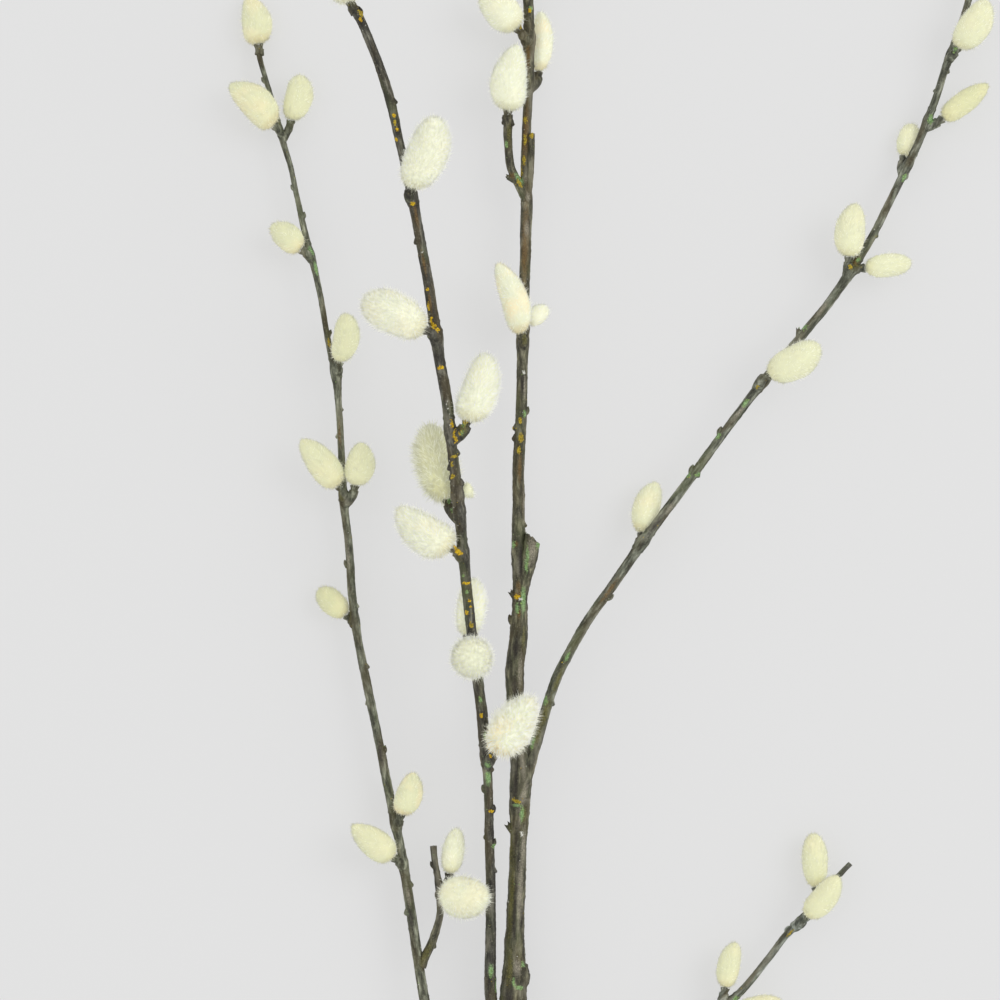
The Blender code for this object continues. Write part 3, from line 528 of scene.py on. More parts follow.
def bud_model():
    """A leaf bud that lies along the stem: blunt below, drawn out to a point above."""
    bpy.ops.mesh.primitive_uv_sphere_add(segments=12, ring_count=10, radius=1.25 * MM)
    bud = bpy.context.object
    bud.name = "bud"
    for v in bud.data.vertices:
        t = v.co.z / (1.25 * MM)
        narrow = 1 - 0.42 * max(t, 0) ** 1.4
        v.co = (v.co.x * narrow, v.co.y * narrow * 0.85, (0.9 + 2.1 * t) * MM)
    return bud


def scar_model():
    """The raised scar of a fallen catkin or leaf: a low knob with a dented face."""
    bpy.ops.mesh.primitive_cylinder_add(vertices=12, radius=1.5 * MM, depth=1.6 * MM,
                                        location=(0, 0, -0.5 * MM))
    scar = begin("scar")
    bpy.ops.mesh.extrude_region_move(TRANSFORM_OT_translate={"value": (0, 0, 0.55 * MM)})
    bpy.ops.transform.resize(value=(0.78, 0.66, 1))
    sink(0.3, 0.3)
    bpy.ops.object.mode_set(mode="OBJECT")
    return scar


def stub_model():
    """A short dead shoot that broke off: a tapered peg with an uneven broken end."""
    bpy.ops.mesh.primitive_cone_add(vertices=12, radius1=1.5 * MM, radius2=1.0 * MM, depth=4 * MM,
                                    location=(0, 0, 0.3 * MM))
    stub = begin("stub")
    sink(0.25, 0.45)
    bpy.ops.object.mode_set(mode="OBJECT")
    rng = random.Random(8)
    for v in stub.data.vertices:
        if v.co.z > 1.6 * MM:
            v.co.z += rng.uniform(-0.7, 0.6) * MM
    return stub


def corners_and_faces():
    """The corners and faces of the new primitive, which then goes away."""
    obj = bpy.context.object
    corners, faces = values(obj.data.vertices, "co"), values(obj.data.polygons, "vertices")
    bpy.data.objects.remove(obj)
    return corners, faces


def strand_model():
    """One hair: a three-sided spike, one long and one wide."""
    bpy.ops.mesh.primitive_cone_add(vertices=3, radius1=1, depth=1, location=(0, 0, 0.5))
    bpy.ops.object.transform_apply(location=True, rotation=False, scale=False)
    return corners_and_faces()


def flake_model():
    """One flake of lichen: a small low ball."""
    bpy.ops.mesh.primitive_ico_sphere_add(subdivisions=1, radius=1)
    return corners_and_faces()


# Wood

def spur_root(stem, foot, out):
    """Where a spur leaves its stem's centre, and where its cup begins."""
    s = stem.nearest(foot)
    reach = (stem.at(s)[0] - foot).length
    if s > stem.length - 2:
        root = stem.at(stem.length - 3)[0]
    else:
        # The more a catkin points along its stem, the further down its spur starts
        drop = min(1.3 * reach, 7.0) * max(0.4 + 0.6 * out.dot(stem.direction(s)), 0)
        root = stem.at(s - drop)[0]
    cup = foot - out * (GAP + CUP_DEPTH)
    root = root - out * max((root - cup).dot(out), 0.0)
    return root, cup


def cut_end(obj, where, facing, rng):
    """Ends a rod in an uneven broken face."""
    edit(obj)
    cut_off(where, facing)
    pick_faces(obj, lambda face: face.normal.dot(facing) > 0.99)
    bpy.ops.mesh.inset(thickness=0.5 * MM)
    bpy.ops.transform.translate(value=tuple(-facing * 0.5 * MM))
    bpy.ops.object.mode_set(mode="OBJECT")
    for v in obj.data.vertices:
        if (v.co - where).dot(facing) > -0.1 * MM:
            v.co += facing * rng.uniform(-0.5, 0.5) * MM


def build_wood(stems, rng):
    """All the wood as one closed mesh: the stems with their spurs, cups, buds, scars and stubs."""
    pieces = bpy.data.collections.new("wood_pieces")
    bpy.context.scene.collection.children.link(pieces)

    def put(obj):
        for collection in list(obj.users_collection):
            collection.objects.unlink(obj)
        pieces.objects.link(obj)

    trunk = stem_rod("branch_bark", stems["main"], rng)
    for name, stem in stems.items():
        if name != "main":
            put(stem_rod("stem_" + name, stem, rng))
    for name, row in SNAGS.items():
        snag = stem_rod(name, Stem(*row), rng)
        if name == "broken_branch":
            cut_end(snag, place(BREAK[0]), Vector(BREAK[1]).normalized(), rng)
        put(snag)
    cup = cup_model()
    for name, rows in CATKINS.items():
        for number, (foot, tip, _) in enumerate(rows, 1):
            stout = STOUT_SPURS.get(f"{name}_{number:02d}", COMMON_STOUT)
            foot = Vector(foot)
            out = (Vector(tip) - foot).normalized()
            root, neck = spur_root(stems[name], foot, out)
            # No spur is much thicker than its stem, and none is thinner than its cup
            most = max(0.62 * stems[name].at(stems[name].nearest(foot))[1] * stout, 1.4)
            bend = neck - out * (neck - root).length * 0.25
            points = []
            for i in range(9):
                t = i / 8
                where = root * (1 - t) ** 2 + bend * 2 * t * (1 - t) + neck * t ** 2
                radius = min(SPUR_RADIUS * stout * (1.4 - 0.32 * t ** 0.7), most)
                points.append((where, radius * rng.uniform(0.94, 1.06)))
            points.append((neck + out * 0.3, SPUR_RADIUS * 0.85))
            if (neck - root).length > 0.8:
                put(rod("spur", points, NECK_SIDES))
            copy_of(cup, turned_to(out, foot - out * GAP, rng.uniform(0, math.tau)), pieces)
    models = {"bud": bud_model(), "scar": scar_model(), "stub": stub_model()}
    for name, rows in MARKS.items():
        for y, angle, kind in rows:
            stem = stems[name]
            s = stem.at_y(y)
            centre, thickness = stem.at(s)
            along = stem.direction(s)
            right, up = frame_of(along)
            outward = math.cos(math.radians(angle)) * right + math.sin(math.radians(angle)) * up
            lean = math.radians(LEANS[kind])
            axis = math.cos(lean) * along + math.sin(lean) * outward
            where = centre + outward * (thickness / 2 - 0.35)
            size = min(math.sqrt(thickness / 3.6), 1.1) * rng.uniform(0.8, 1.05)
            copy_of(models[kind], turned_to(axis, where, rng.uniform(0, math.tau), size), pieces)
    for model in (cup, *models.values()):
        bpy.data.objects.remove(model)
    union = trunk.modifiers.new("union", "BOOLEAN")
    union.operation = "UNION"
    union.operand_type = "COLLECTION"
    union.collection = pieces
    union.solver = "MANIFOLD"
    take(trunk)
    bpy.ops.object.modifier_apply(modifier=union.name)
    for obj in list(pieces.objects):
        bpy.data.objects.remove(obj)
    bpy.data.collections.remove(pieces)
    return trunk


def trim_wood(trunk):
    """The slanted saw cut, which shows the wood under the bark, and the flat under the thick end."""
    saw = place((*CUT_END, 0))
    edit(trunk)
    cut_off(saw, SAW_FACE)
    cut_off(Vector(), -UP)
    bpy.ops.object.mode_set(mode="OBJECT")
    trunk.data.update()
    for face in trunk.data.polygons:
        if face.normal.dot(SAW_FACE) > 0.999 and abs((face.center - saw).dot(SAW_FACE)) < 1e-5:
            face.material_index = 1


def weather_bark(trunk, stems):
    """Raises the bark's roughness, and writes where each point lies along its own stem.

    The grain attribute is each point's place in millimetres on its stem as if the stem were straight, so
    that streaks follow every bend. The tone and warmth attributes are how pale and how brown the bark is
    there, and one attribute for each kind of patch is 1 in the patch's middle and 0 or less outside it.
    Returns where each patch is, the way its stem runs there, and its half length and half width.
    """
    named = list(stems.values())
    warmths = [WARMTH[name] for name in stems]
    spots = [(k, i) for k, stem in enumerate(named) for i in range(len(stem.samples))]
    tree = KDTree(len(spots))
    for index, (k, i) in enumerate(spots):
        tree.insert(place(named[k].samples[i].to_3d()), index)
    tree.balance()

    def nearest(point):
        """The number of the nearest stem and of the nearest sample on it, and its direction there."""
        k, i = spots[tree.find(point)[1]]
        samples = named[k].samples
        before, after = samples[max(i - 1, 0)], samples[min(i + 1, len(samples) - 1)]
        return k, i, (after - before).to_3d().normalized()

    saw = place((*CUT_END, 0))
    mesh = trunk.data
    count = len(mesh.vertices)
    surface = surface_of(mesh)
    points = KDTree(count)
    for v in mesh.vertices:
        points.insert(v.co, v.index)
    points.balance()
    grain, moved = np.zeros((count, 3)), np.zeros((count, 3))
    tone, warmth = np.zeros(count), np.zeros(count)
    for v in mesh.vertices:
        k, i, along = nearest(v.co)
        stem = named[k]
        right, up = frame_of(along)
        offset = (v.co - place(stem.samples[i].to_3d())) / MM
        spot = Vector((offset.dot(right), offset.dot(up), stem.along[i] + offset.dot(along) + APART * k))
        grain[v.index] = spot
        own = 1 if k == 0 else min(stem.along[i] / BLEND, 1)
        tone[v.index] = named[0].tone + own * (stem.tone - named[0].tone)
        warmth[v.index] = warmths[0] + own * (warmths[k] - warmths[0])
        height = 0.0
        if v.co.z > 1e-5 and abs((v.co - saw).dot(SAW_FACE)) > 1e-5:
            coarse = noise.noise(Vector((spot.x * 0.7, spot.y * 0.7, spot.z * 0.28)))
            wrinkle = noise.noise(Vector((spot.x * 1.5, spot.y * 1.5, spot.z * 0.9 + 50)))
            lump = max(0.0, noise.noise(Vector((spot.x * 0.5, spot.y * 0.5, spot.z * 0.5 + 90))) - 0.25)
            size = min(2.0, max(0.6, stem.samples[i].w / 4))
            height = BARK_RELIEF * size * (0.4 * coarse + 0.9 * wrinkle + 2.4 * lump)
        moved[v.index] = v.co + v.normal * height * MM
    grown = {}
    for kind, rows in PATCHES.items():
        patch = np.zeros(count)
        grown[kind] = []
        for x, y, long, wide in rows:
            hit, _, _, _ = surface.ray_cast(place((x, y, ABOVE)), -UP)
            if hit is None:
                hit = surface.find_nearest(place((x, y, 17)))[0]
            along = nearest(hit)[2]
            grown[kind].append((hit, along, long, wide))
            for co, index, _ in points.find_range(hit, max(long, wide) * 1.5 * MM):
                offset = (co - hit) / MM
                a = offset.dot(along)
                across = (offset - a * along).length
                patch[index] = max(patch[index], 1.5 - math.hypot(a / long, across / wide))
        write_attribute(mesh, kind, patch)
    moved[:, 2] = np.maximum(moved[:, 2], 0)
    mesh.vertices.foreach_set("co", moved.ravel())
    write_attribute(mesh, "grain", grain)
    write_attribute(mesh, "tone", tone)
    write_attribute(mesh, "warmth", warmth)
    mesh.update()
    return grown


# Catkins

def catkin_core(name, foot, tip, thickness, shape, rng):
    """The body of a catkin under its fur: an egg, full at its foot, bent and more or less pointed."""
    widest, point, bend, _ = shape
    foot, tip = Vector(foot), Vector(tip)
    length = (tip - foot).length
    axis = (tip - foot).normalized()
    right, up = frame_of(axis)
    bpy.ops.mesh.primitive_uv_sphere_add(segments=28, ring_count=20, radius=1)
    core = bpy.context.object
    core.name = name
    fix_order(core.data)
    drift = Vector((rng.uniform(0, 90), rng.uniform(0, 90), rng.uniform(0, 90)))
    for v in core.data.vertices:
        x, y, z = v.co
        t = (1 + z) / 2
        around = math.hypot(x, y)
        if t < widest:
            radius = math.sqrt(1 - ((widest - t) / widest) ** 2.6)
        else:
            drawn = ((t - widest) / (1 - widest)) ** (2.2 - 0.75 * point)
            radius = (1 - drawn) ** (0.5 + 0.25 * point)
        radius *= thickness / 2 - FUR_DEPTH
        flat = Vector((x, y, 0)) / around if around > 1e-6 else Vector()
        radius *= 1 + 0.05 * noise.noise(drift + Vector((flat.x * 1.6, flat.y * 1.6, t * 4)))
        middle = foot + axis * (0.3 + (length - 0.3 - FUR_DEPTH) * t)
        middle += right * bend * length * math.sin(math.pi * t)
        v.co = place(middle + (right * flat.x + up * flat.y) * radius)
        v.co.z = max(v.co.z, 0)
    core.data.update()
    edit(core)
    bpy.ops.mesh.normals_make_consistent(inside=False)
    bpy.ops.object.mode_set(mode="OBJECT")
    return core


def unit(rows):
    return rows / np.linalg.norm(rows, axis=1, keepdims=True)


def spread_on(mesh, density, rng):
    """Places spread evenly over a mesh, so many on a square millimetre, with the smooth normal at each."""
    mesh.calc_loop_triangles()
    corners = values(mesh.loop_triangles, "vertices")
    co, normals = values(mesh.vertices, "co"), values(mesh.vertices, "normal")
    a, b, c = (co[corners[:, k]] for k in range(3))
    area = np.linalg.norm(np.cross(b - a, c - a), axis=1) / 2
    number = int(area.sum() / MM ** 2 * density)
    chosen = corners[rng.choice(len(area), number, p=area / area.sum())]
    u, v = rng.random(number), rng.random(number)
    flip = u + v > 1
    u[flip], v[flip] = 1 - u[flip], 1 - v[flip]
    weights = np.stack([1 - u - v, u, v], axis=1)[:, :, None]
    return (co[chosen] * weights).sum(axis=1), unit((normals[chosen] * weights).sum(axis=1))


def copies(model, where, axis, across, length, width):
    """Corners and faces of copies of a small model, stood at places along axes."""
    corners, faces = model
    side = unit(np.cross(axis, across))
    other = np.cross(axis, side)
    points = (where[:, None, :]
              + corners[None, :, 0, None] * side[:, None, :] * width[:, None, None]
              + corners[None, :, 1, None] * other[:, None, :] * width[:, None, None]
              + corners[None, :, 2, None] * axis[:, None, :] * length[:, None, None])
    steps = np.arange(len(where))[:, None] * len(corners)
    return points.reshape(-1, 3), np.concatenate([face[None, :] + steps for face in faces])


def furred(core, strand, foot, tip, style, blush, seed):
    """A catkin with its fur: short dense hairs that lean to its tip, and some that stand out past them.

    The UV map fur holds the share of the way to the catkin's tip, and to the hair's tip.
    """
    tint, fluff, density, wild = style
    rng = np.random.default_rng(seed)
    foot, tip = np.array(place(foot)), np.array(place(tip))
    length = np.linalg.norm(tip - foot)
    axis = (tip - foot) / length
    where, facing = spread_on(core.data, density, rng)
    number = len(where)
    t = np.clip((where - foot) @ axis / length, 0, 1)
    lot = rng.random(number)
    loose = lot < 0.12 + 0.2 * wild
    halo = lot < 0.03 * min(1, 2 * wild)
    scatter = unit(rng.normal(size=(number, 3)))
    tuft = 1.1 - 0.5 * wild
    clump = np.array([noise.noise_vector(Vector(p) / MM * tuft)[:] for p in where]) * (0.16 + 0.44 * wild)
    # At its foot the fur lies back over the cup
    lean = np.interp(t, (0, 0.08, 0.2, 0.35, 1), (-0.9, -0.2, 0.6, 0.95, 0.8))
    lean = np.where(loose, lean * (0.9 - 0.4 * wild), lean)[:, None]
    lay = unit(facing * np.where(loose, 1.15, 0.5)[:, None] + axis * lean
               + scatter * np.where(loose, 0.45, 0.22)[:, None] + clump)
    short = rng.uniform(*SHORT_HAIRS, number)
    long = np.where(halo, rng.uniform(*LONG_HAIRS, number),
                    rng.uniform(LOOSE_HAIRS[0], LOOSE_HAIRS[1] + 0.7 * wild, number))
    long = np.where(loose, long, short) * fluff * MM
    wide = np.where(loose, 0.075 + 0.025 * wild, 0.1) * rng.uniform(0.8, 1.25, number) * MM
    points, hair_faces = copies(strand, where - facing * HAIR_ROOT * MM, lay, scatter, long, wide)
    mesh = core.data
    body_points = values(mesh.vertices, "co")
    mesh.calc_loop_triangles()
    body_faces = values(mesh.loop_triangles, "vertices")
    start, corners = len(body_points), len(strand[0])

    def of_all(on_body, on_hairs):
        """Values of the body's points, and of each hair's corners."""
        return np.concatenate([on_body, np.repeat(on_hairs, corners, axis=0)])

    none = np.zeros(start)
    verts = np.concatenate([body_points, points])
    verts[:, 2] = np.maximum(verts[:, 2], 0)
    faces = np.concatenate([body_faces, hair_faces + start])
    share = of_all(np.clip((body_points - foot) @ axis / length, 0, 1), t)
    height = np.concatenate([none, np.tile(strand[0][:, 2] > 0.5, number)])
    grey = np.where(halo, 0.25, np.where(loose, rng.uniform(0, 1, number) * tint ** 4, 0))
    right, up = (np.array(v) for v in frame_of(Vector(axis)))
    roots = (of_all(body_points, where) - foot) / MM
    smooth = of_all(values(mesh.vertices, "normal"), unit(facing + lay * 0.35))
    made = bpy.data.meshes.new(core.name)
    made.vertices.add(len(verts))
    made.vertices.foreach_set("co", verts.ravel())
    made.loops.add(len(faces) * 3)
    made.loops.foreach_set("vertex_index", faces.ravel())
    made.polygons.add(len(faces))
    made.polygons.foreach_set("loop_start", np.arange(0, len(faces) * 3, 3))
    made.update(calc_edges=True)
    made.shade_smooth()
    fur = made.uv_layers.new(name="fur")
    fur.data.foreach_set("uv", np.stack([share[faces.ravel()], height[faces.ravel()]], axis=1).ravel())
    write_attribute(made, "tint", np.full(len(verts), tint))
    write_attribute(made, "blush", np.full(len(verts), blush))
    write_attribute(made, "stray", of_all(none, grey))
    # How much painted whiteness and painted glow each hair that stands out gets
    write_attribute(made, "painted_glow", of_all(none, np.where(loose, 1 - grey, 0)))
    write_attribute(made, "grain", np.stack([roots @ right, roots @ up, roots @ axis + seed % 997], axis=1))
    own = values(made.vertices, "normal")
    smooth[start:] = unit(smooth[start:] * 0.8 + own[start:] * 0.2)
    made.normals_split_custom_set_from_vertices(smooth.tolist())
    core.data = made
    bpy.data.meshes.remove(mesh)
    return core


# Lichens and algae

def flakes_on(bark, kind, patches, flake, rng):
    """Small crusts in the patches of one kind, and strays all over the bark."""
    mesh = bark.data
    tree = surface_of(mesh)
    where, facing, size = [], [], []
    for middle, along, long, wide in patches:
        across = along.cross(UP).normalized()
        for _ in range(FLAKES[kind]):
            angle, reach = rng.uniform(0, math.tau), math.sqrt(rng.random())
            aside = (along * math.cos(angle) * long + across * math.sin(angle) * wide) * reach * MM
            hit, normal, _, _ = tree.find_nearest(middle + aside + UP * MM)
            where.append(hit)
            facing.append(normal)
            size.append(rng.uniform(0.12, 0.16 + 0.2 * min(long, wide, 1)))
    for _ in range(STRAY_FLAKES[kind]):
        v = mesh.vertices[rng.randrange(len(mesh.vertices))]
        if v.co.z > 0.2 * MM:
            where.append(v.co.copy())
            facing.append(v.normal.copy())
            size.append(rng.uniform(0.1, 0.24))
    where = np.array([p[:] for p in where])
    facing = unit(np.array([p[:] for p in facing]))
    size = np.array(size) * MM
    across = unit(np.random.default_rng(3).normal(size=where.shape))
    points, faces = copies(flake, where, facing, across, size * 0.42, size)
    mesh = bpy.data.meshes.new("lichen_" + kind)
    mesh.from_pydata(points.tolist(), [], faces.tolist())
    mesh.shade_smooth()
    obj = bpy.data.objects.new("lichen_" + kind, mesh)
    bpy.context.scene.collection.objects.link(obj)
    return obj


# Materials

def linear(code):
    """The linear colour of an sRGB hex value."""
    parts = [int(code[i:i + 2], 16) / 255 for i in (1, 3, 5)]
    return [c / 12.92 if c <= 0.04045 else ((c + 0.055) / 1.055) ** 2.4 for c in parts] + [1.0]


def add(tree, kind, inputs=None, **settings):
    """Adds a shader node with its settings, and its inputs as values or links."""
    node = tree.nodes.new("ShaderNode" + kind)
    for name, value in settings.items():
        setattr(node, name, value)
    for key, value in (inputs or {}).items():
        if isinstance(value, bpy.types.NodeSocket):
            tree.links.new(value, node.inputs[key])
        else:
            node.inputs[key].default_value = value
    return node


def ramp(tree, factor, *stops):
    """A colour that goes from stop to stop, each with its place from 0 to 1."""
    node = add(tree, "ValToRGB", {"Fac": factor})
    elements = node.color_ramp.elements
    while len(elements) < len(stops):
        elements.new(0.5)
    for element, (position, code) in zip(elements, stops):
        element.position = position
        element.color = linear(code)
    return node.outputs[0]


def over(tree, colour, share, other, blend="MIX"):
    """A colour with a share of another over it, which is a hex value or a link."""
    if isinstance(other, str):
        other = linear(other)
    return add(tree, "Mix", {0: share, 6: colour, 7: other}, data_type="RGBA", blend_type=blend).outputs[2]


def attribute(tree, name, output="Fac"):
    return add(tree, "Attribute", attribute_name=name).outputs[output]


def stretched(tree, where, along, shift=0):
    """Places for a pattern that is drawn out along the stem or catkin."""
    return add(tree, "Mapping", {"Vector": where, "Location": (shift, 0, 0),
                                 "Scale": (1, 1, along)}).outputs[0]


def clouds(tree, where, scale, detail, roughness=0.5):
    """Noise from 0 to 1, in clouds 1 / scale across."""
    return add(tree, "TexNoise", {"Vector": where, "Scale": scale, "Detail": detail,
                                  "Roughness": roughness}).outputs["Fac"]


def remap(tree, value, start, end, most):
    """A share that is 0 where the value is start, and most where it is end."""
    return add(tree, "MapRange", {0: value, 1: start, 2: end, 4: most}).outputs[0]


def calculate(tree, operation, *numbers):
    return add(tree, "Math", dict(enumerate(numbers)), operation=operation).outputs[0]


def new_material(name, roughness, **shader_inputs):
    """A material with a Principled shader. Returns it with its node tree and shader."""
    material = bpy.data.materials.new(name)
    material.use_nodes = True
    shader = material.node_tree.nodes["Principled BSDF"]
    shader.inputs["Roughness"].default_value = roughness
    for key, value in shader_inputs.items():
        shader.inputs[key.replace("_", " ")].default_value = value
    return material, material.node_tree, shader


def willow_bark():
    """Bark of young willow: thin, dry and dull, dark olive-grey in long streaks, with lichen and algae."""
    material, tree, shader = new_material("Willow bark", 0.6, Specular_IOR_Level=0.3)
    grain = attribute(tree, "grain", "Vector")
    # Streaks 1.5 mm wide and 6 mm long
    streaks = clouds(tree, stretched(tree, grain, 0.25), 0.66, 5.0, 0.62)
    dark = ramp(tree, streaks, (0.36, "#201F1C"), (0.47, "#35342F"), (0.57, "#4E4E48"), (0.7, "#84847B"))
    olive = ramp(tree, streaks, (0.36, "#343630"), (0.47, "#555A50"), (0.57, "#797F75"), (0.7, "#B1B8AE"))
    colour = over(tree, dark, attribute(tree, "tone"), olive)
    colour = over(tree, colour, attribute(tree, "warmth"), "#FFF2CC", "MULTIPLY")
    # Brown patches 5 mm across and 15 mm long, where the outer skin has worn thin, others with a film of
    # algae, and pale dry ones
    for scale, shift, low, most, code in (
            (0.2, 0, 0.5, "#B4B4B4", "#504426"), (0.17, 40, 0.54, "#909090", "#667046"),
            (0.24, 80, 0.55, "#A0A0A0", "#A39E8B")):
        cloud = clouds(tree, stretched(tree, grain, 0.33, shift), scale, 3.0)
        colour = over(tree, colour, ramp(tree, cloud, (low, "#000000"), (low + 0.14, most)), code)
    # Pores 0.5 mm across and 2 mm apart
    pores = add(tree, "TexVoronoi", {"Vector": grain, "Scale": 0.52}).outputs["Distance"]
    colour = over(tree, colour, ramp(tree, pores, (0.1, "#909090"), (0.2, "#000000")), "#9C9680")
    # Grit and pits 0.4 mm across
    fine = clouds(tree, grain, 2.4, 4.0, 0.7)
    colour = over(tree, colour, ramp(tree, fine, (0.56, "#000000"), (0.7, "#A0A0A0")), "#A7A38C")
    colour = over(tree, colour, ramp(tree, fine, (0.3, "#C0C0C0"), (0.42, "#000000")), "#1A1813")
    # Broad soft patches, then crusts with sharper edges, all of them ragged. The dark patches are partly
    # painted shade, along the main stem's left side, and the bare ones partly a painted highlight, along its
    # right side and at its fork.
    ragged = calculate(tree, "MULTIPLY_ADD", clouds(tree, grain, 1.5, 4.0, 0.75), 1.7, -1.3)
    for kind, soft, most, light, deep in (
            ("dark", 0.45, 0.8, "#36302A", "#1D1916"), ("olive", 0.45, 0.85, "#6F6B32", "#3E3B1E"),
            ("rust", 0.4, 0.8, "#7C6234", "#46321C"), ("bare_bark_and_highlight", 0.45, 0.8, "#A59E8C", "#6F6A5C"),
            ("green", 0.3, 0.88, "#9DC286", "#5C7C42"), ("amber", 0.12, 1.0, "#BFA62C", "#6A5A16"),
            ("orange", 0.1, 1.0, "#EAC414", "#86660E"), ("pale", 0.06, 1.0, "#E2E1D8", "#A3A294")):
        level = calculate(tree, "ADD", attribute(tree, kind), ragged)
        mask = remap(tree, level, 0.33 - soft, 0.33 + soft, most)
        colour = over(tree, colour, mask, ramp(tree, fine, (0.42, deep), (0.56, light)))
    tree.links.new(colour, shader.inputs["Base Color"])
    height = calculate(tree, "MULTIPLY_ADD", streaks, 0.5, fine)
    bump = add(tree, "Bump", {"Height": height, "Strength": 0.5, "Distance": 0.0004})
    tree.links.new(bump.outputs[0], shader.inputs["Normal"])
    return material


def cut_wood():
    """Willow wood where the saw went through: pale, a little rough, with yearly rings."""
    material, tree, shader = new_material("Sawn willow wood", 0.7)
    where = add(tree, "TexCoord").outputs["Object"]
    centred = add(tree, "Mapping", {"Vector": where, "Location": -place((*CUT_END, 4.9))}).outputs[0]
    # Rings 1.6 mm apart
    rings = add(tree, "TexWave", {"Vector": centred, "Scale": 200.0, "Distortion": 1.2, "Detail": 3.0,
                                  "Detail Scale": 1.5}, wave_type="RINGS", rings_direction="SPHERICAL")
    colour = ramp(tree, rings.outputs["Fac"], (0.0, "#B79A6B"), (0.6, "#D9C293"), (1.0, "#E4D2AA"))
    tree.links.new(colour, shader.inputs["Base Color"])
    return material


def catkin_fur():
    """Silky hair of open willow catkins: dull, pale yellow deep down and near white at the hairs' ends.

    The small glow stands for the daylight that wanders from hair to hair, past the few bounces of a render.
    """
    material, tree, shader = new_material("Willow catkin fur", 0.95, Specular_IOR_Level=0.2,
                                          Sheen_Weight=0.1, Sheen_Roughness=0.5,
                                          Emission_Color=linear("#FDFFE9"))
    tint, blush, stray, painted_glow = (attribute(tree, name) for name in ("tint", "blush", "stray", "painted_glow"))
    grain = attribute(tree, "grain", "Vector")
    places = add(tree, "UVMap", uv_map="fur").outputs[0]
    to_tip, up_hair, _ = add(tree, "SeparateXYZ", {"Vector": places}).outputs
    white = ramp(tree, up_hair, (0.0, "#E4E6CE"), (0.45, "#EBEDDE"), (1.0, "#F5F6F1"))
    green = ramp(tree, up_hair, (0.0, "#CACA98"), (0.45, "#D5D5AD"), (1.0, "#E3E3CC"))
    colour = over(tree, white, tint, green)
    # A peach blush in clouds 8 mm across, and a tan foot for a sixth of the length
    warm = remap(tree, clouds(tree, grain, 0.125, 2.0), 0.4, 0.65, 0.6)
    low = remap(tree, to_tip, 0.17, 0.0, 1.0)
    for amount, code in ((warm, "#FBE3AE"), (low, "#CFA05E")):
        colour = over(tree, colour, calculate(tree, "MULTIPLY", amount, blush), code)
    # The foot is also yellower
    colour = over(tree, colour, remap(tree, to_tip, 0.18, 0.02, 0.5), "#CDC98A")
    # Strands 0.45 mm wide and 1.8 mm long, with partings between them
    strands = clouds(tree, stretched(tree, grain, 0.25), 2.2, 2.0)
    colour = over(tree, colour, remap(tree, strands, 0.5, 0.3, 0.45), "#DADAA4")
    # Hairs that stand out past the rest are painted whiter and given a painted glow, as if lit through, and
    # the longest ones greyer
    colour = over(tree, colour, calculate(tree, "MULTIPLY", painted_glow, 0.7), "#FFFFF8")
    colour = over(tree, colour, stray, "#C2C096")
    # Painted glow: a little over all the fur, and more on the hairs that stand out
    glow = calculate(tree, "MULTIPLY_ADD", painted_glow, 0.22, 0.17)
    tree.links.new(glow, shader.inputs["Emission Strength"])
    tree.links.new(colour, shader.inputs["Base Color"])
    return material


def crust(name, light, dark, patch):
    """A lichen or alga: a dry dull crust, uneven in colour over patch millimetres."""
    material, tree, shader = new_material(name, 0.85)
    where = add(tree, "TexCoord").outputs["Object"]
    colour = ramp(tree, clouds(tree, where, 1 / (patch * MM), 3.0), (0.35, dark), (0.62, light))
    tree.links.new(colour, shader.inputs["Base Color"])
    return material


# Stage

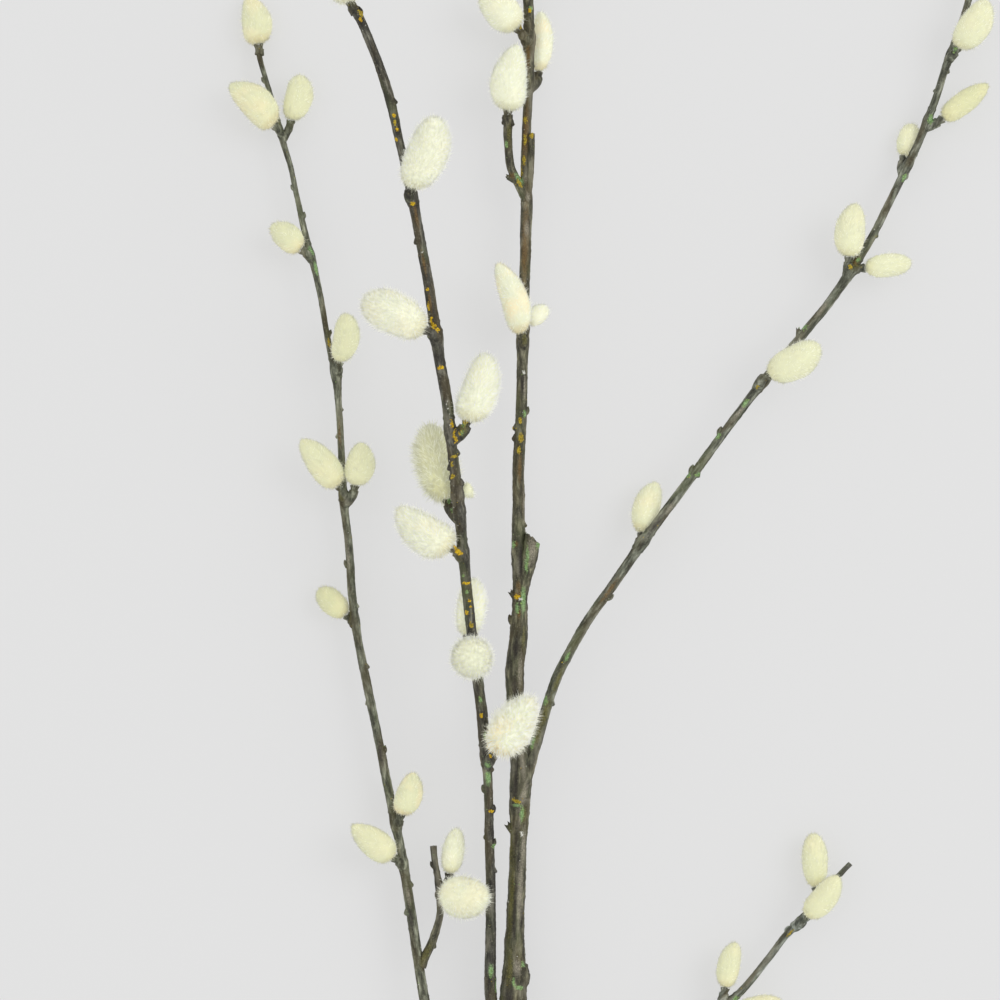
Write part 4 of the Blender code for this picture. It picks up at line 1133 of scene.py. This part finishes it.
def build_stage():
    """A plain pale floor, soft light from all round and a large soft lamp, and the camera straight above."""
    bpy.ops.mesh.primitive_plane_add(size=14, location=(0, 0, 0))
    floor = bpy.context.object
    floor.name = "floor"
    # Paper on a light table: half its brightness comes through it, so that shadows stay faint
    material, _, _ = new_material("White paper lit from below", 0.95, Specular_IOR_Level=0.1,
                                  Base_Color=linear("#888888"), Emission_Color=(1, 1, 1, 1),
                                  Emission_Strength=0.5)
    floor.data.materials.append(material)
    scene = bpy.context.scene
    world = bpy.data.worlds.new("Soft studio light")
    scene.world = world
    world.use_nodes = True
    background = world.node_tree.nodes["Background"]
    background.inputs["Color"].default_value = (1, 1, 1, 1)
    background.inputs["Strength"].default_value = 0.92
    bpy.ops.object.light_add(type="AREA", location=(2.2, 1.0, 3.0))
    lamp = bpy.context.object
    lamp.data.shape = "DISK"
    lamp.data.size = 2.6
    lamp.data.energy = 34
    lamp.rotation_euler = (-lamp.location).to_track_quat("-Z", "Y").to_euler()
    middle = place((0, 0, 0))
    bpy.ops.object.camera_add(location=(middle.x, middle.y, CAMERA_HEIGHT * MM))
    camera = bpy.context.object
    camera.data.sensor_width = 36
    camera.data.lens = 36 * CAMERA_HEIGHT / VIEW_WIDTH
    scene.camera = camera
    scene.view_settings.view_transform = "Standard"


# Making

build_stage()
rng = random.Random(11)
stems = {name: Stem(*row) for name, row in STEMS.items()}
for name, rows in CATKINS.items():
    for foot, _, _ in rows:
        s = stems[name].nearest(Vector(foot))
        if 6 < s < stems[name].length - 6:
            stems[name].nodes.append(max(s - 2.5, 4))

bark = build_wood(stems, rng)
bark.data.materials.clear()
bark.data.materials.append(willow_bark())
bark.data.materials.append(cut_wood())
trim_wood(bark)
patches = weather_bark(bark, stems)
take(bark)
bpy.ops.object.shade_smooth_by_angle(angle=math.radians(40))
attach(bark, "root")
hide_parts("branch")

crusts = {
    "orange": crust("Sunburst lichen", "#E8C418", "#967018", 0.5),
    "amber": crust("Candle lichen", "#C2AA34", "#756420", 0.6),
    "green": crust("Green tree alga", "#93AE68", "#566F3C", 0.7),
    "pale": crust("Grey rim lichen", "#DEDED4", "#9A9B8E", 0.6),
}
flake = flake_model()
for kind, material in crusts.items():
    grown = flakes_on(bark, kind, patches[kind], flake, random.Random(kind))
    grown.data.materials.append(material)
    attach(grown, "root")

fur = catkin_fur()
strand = strand_model()
for name, rows in CATKINS.items():
    for number, (foot, tip, thickness) in enumerate(rows, 1):
        label = f"{name}_{number:02d}"
        shape = SHAPES.get(label, COMMON_SHAPE)
        body = catkin_core("fur_" + label, foot, tip, thickness, shape, random.Random(label))
        seed = sum(map(ord, label)) * 31 + number
        body = furred(body, strand, foot, tip, FUR.get(label, FUR[name]), shape[3], seed)
        body.data.materials.append(fur)
        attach(body, "root")
        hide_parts("catkin_" + label)

bpy.ops.object.select_all(action="DESELECT")
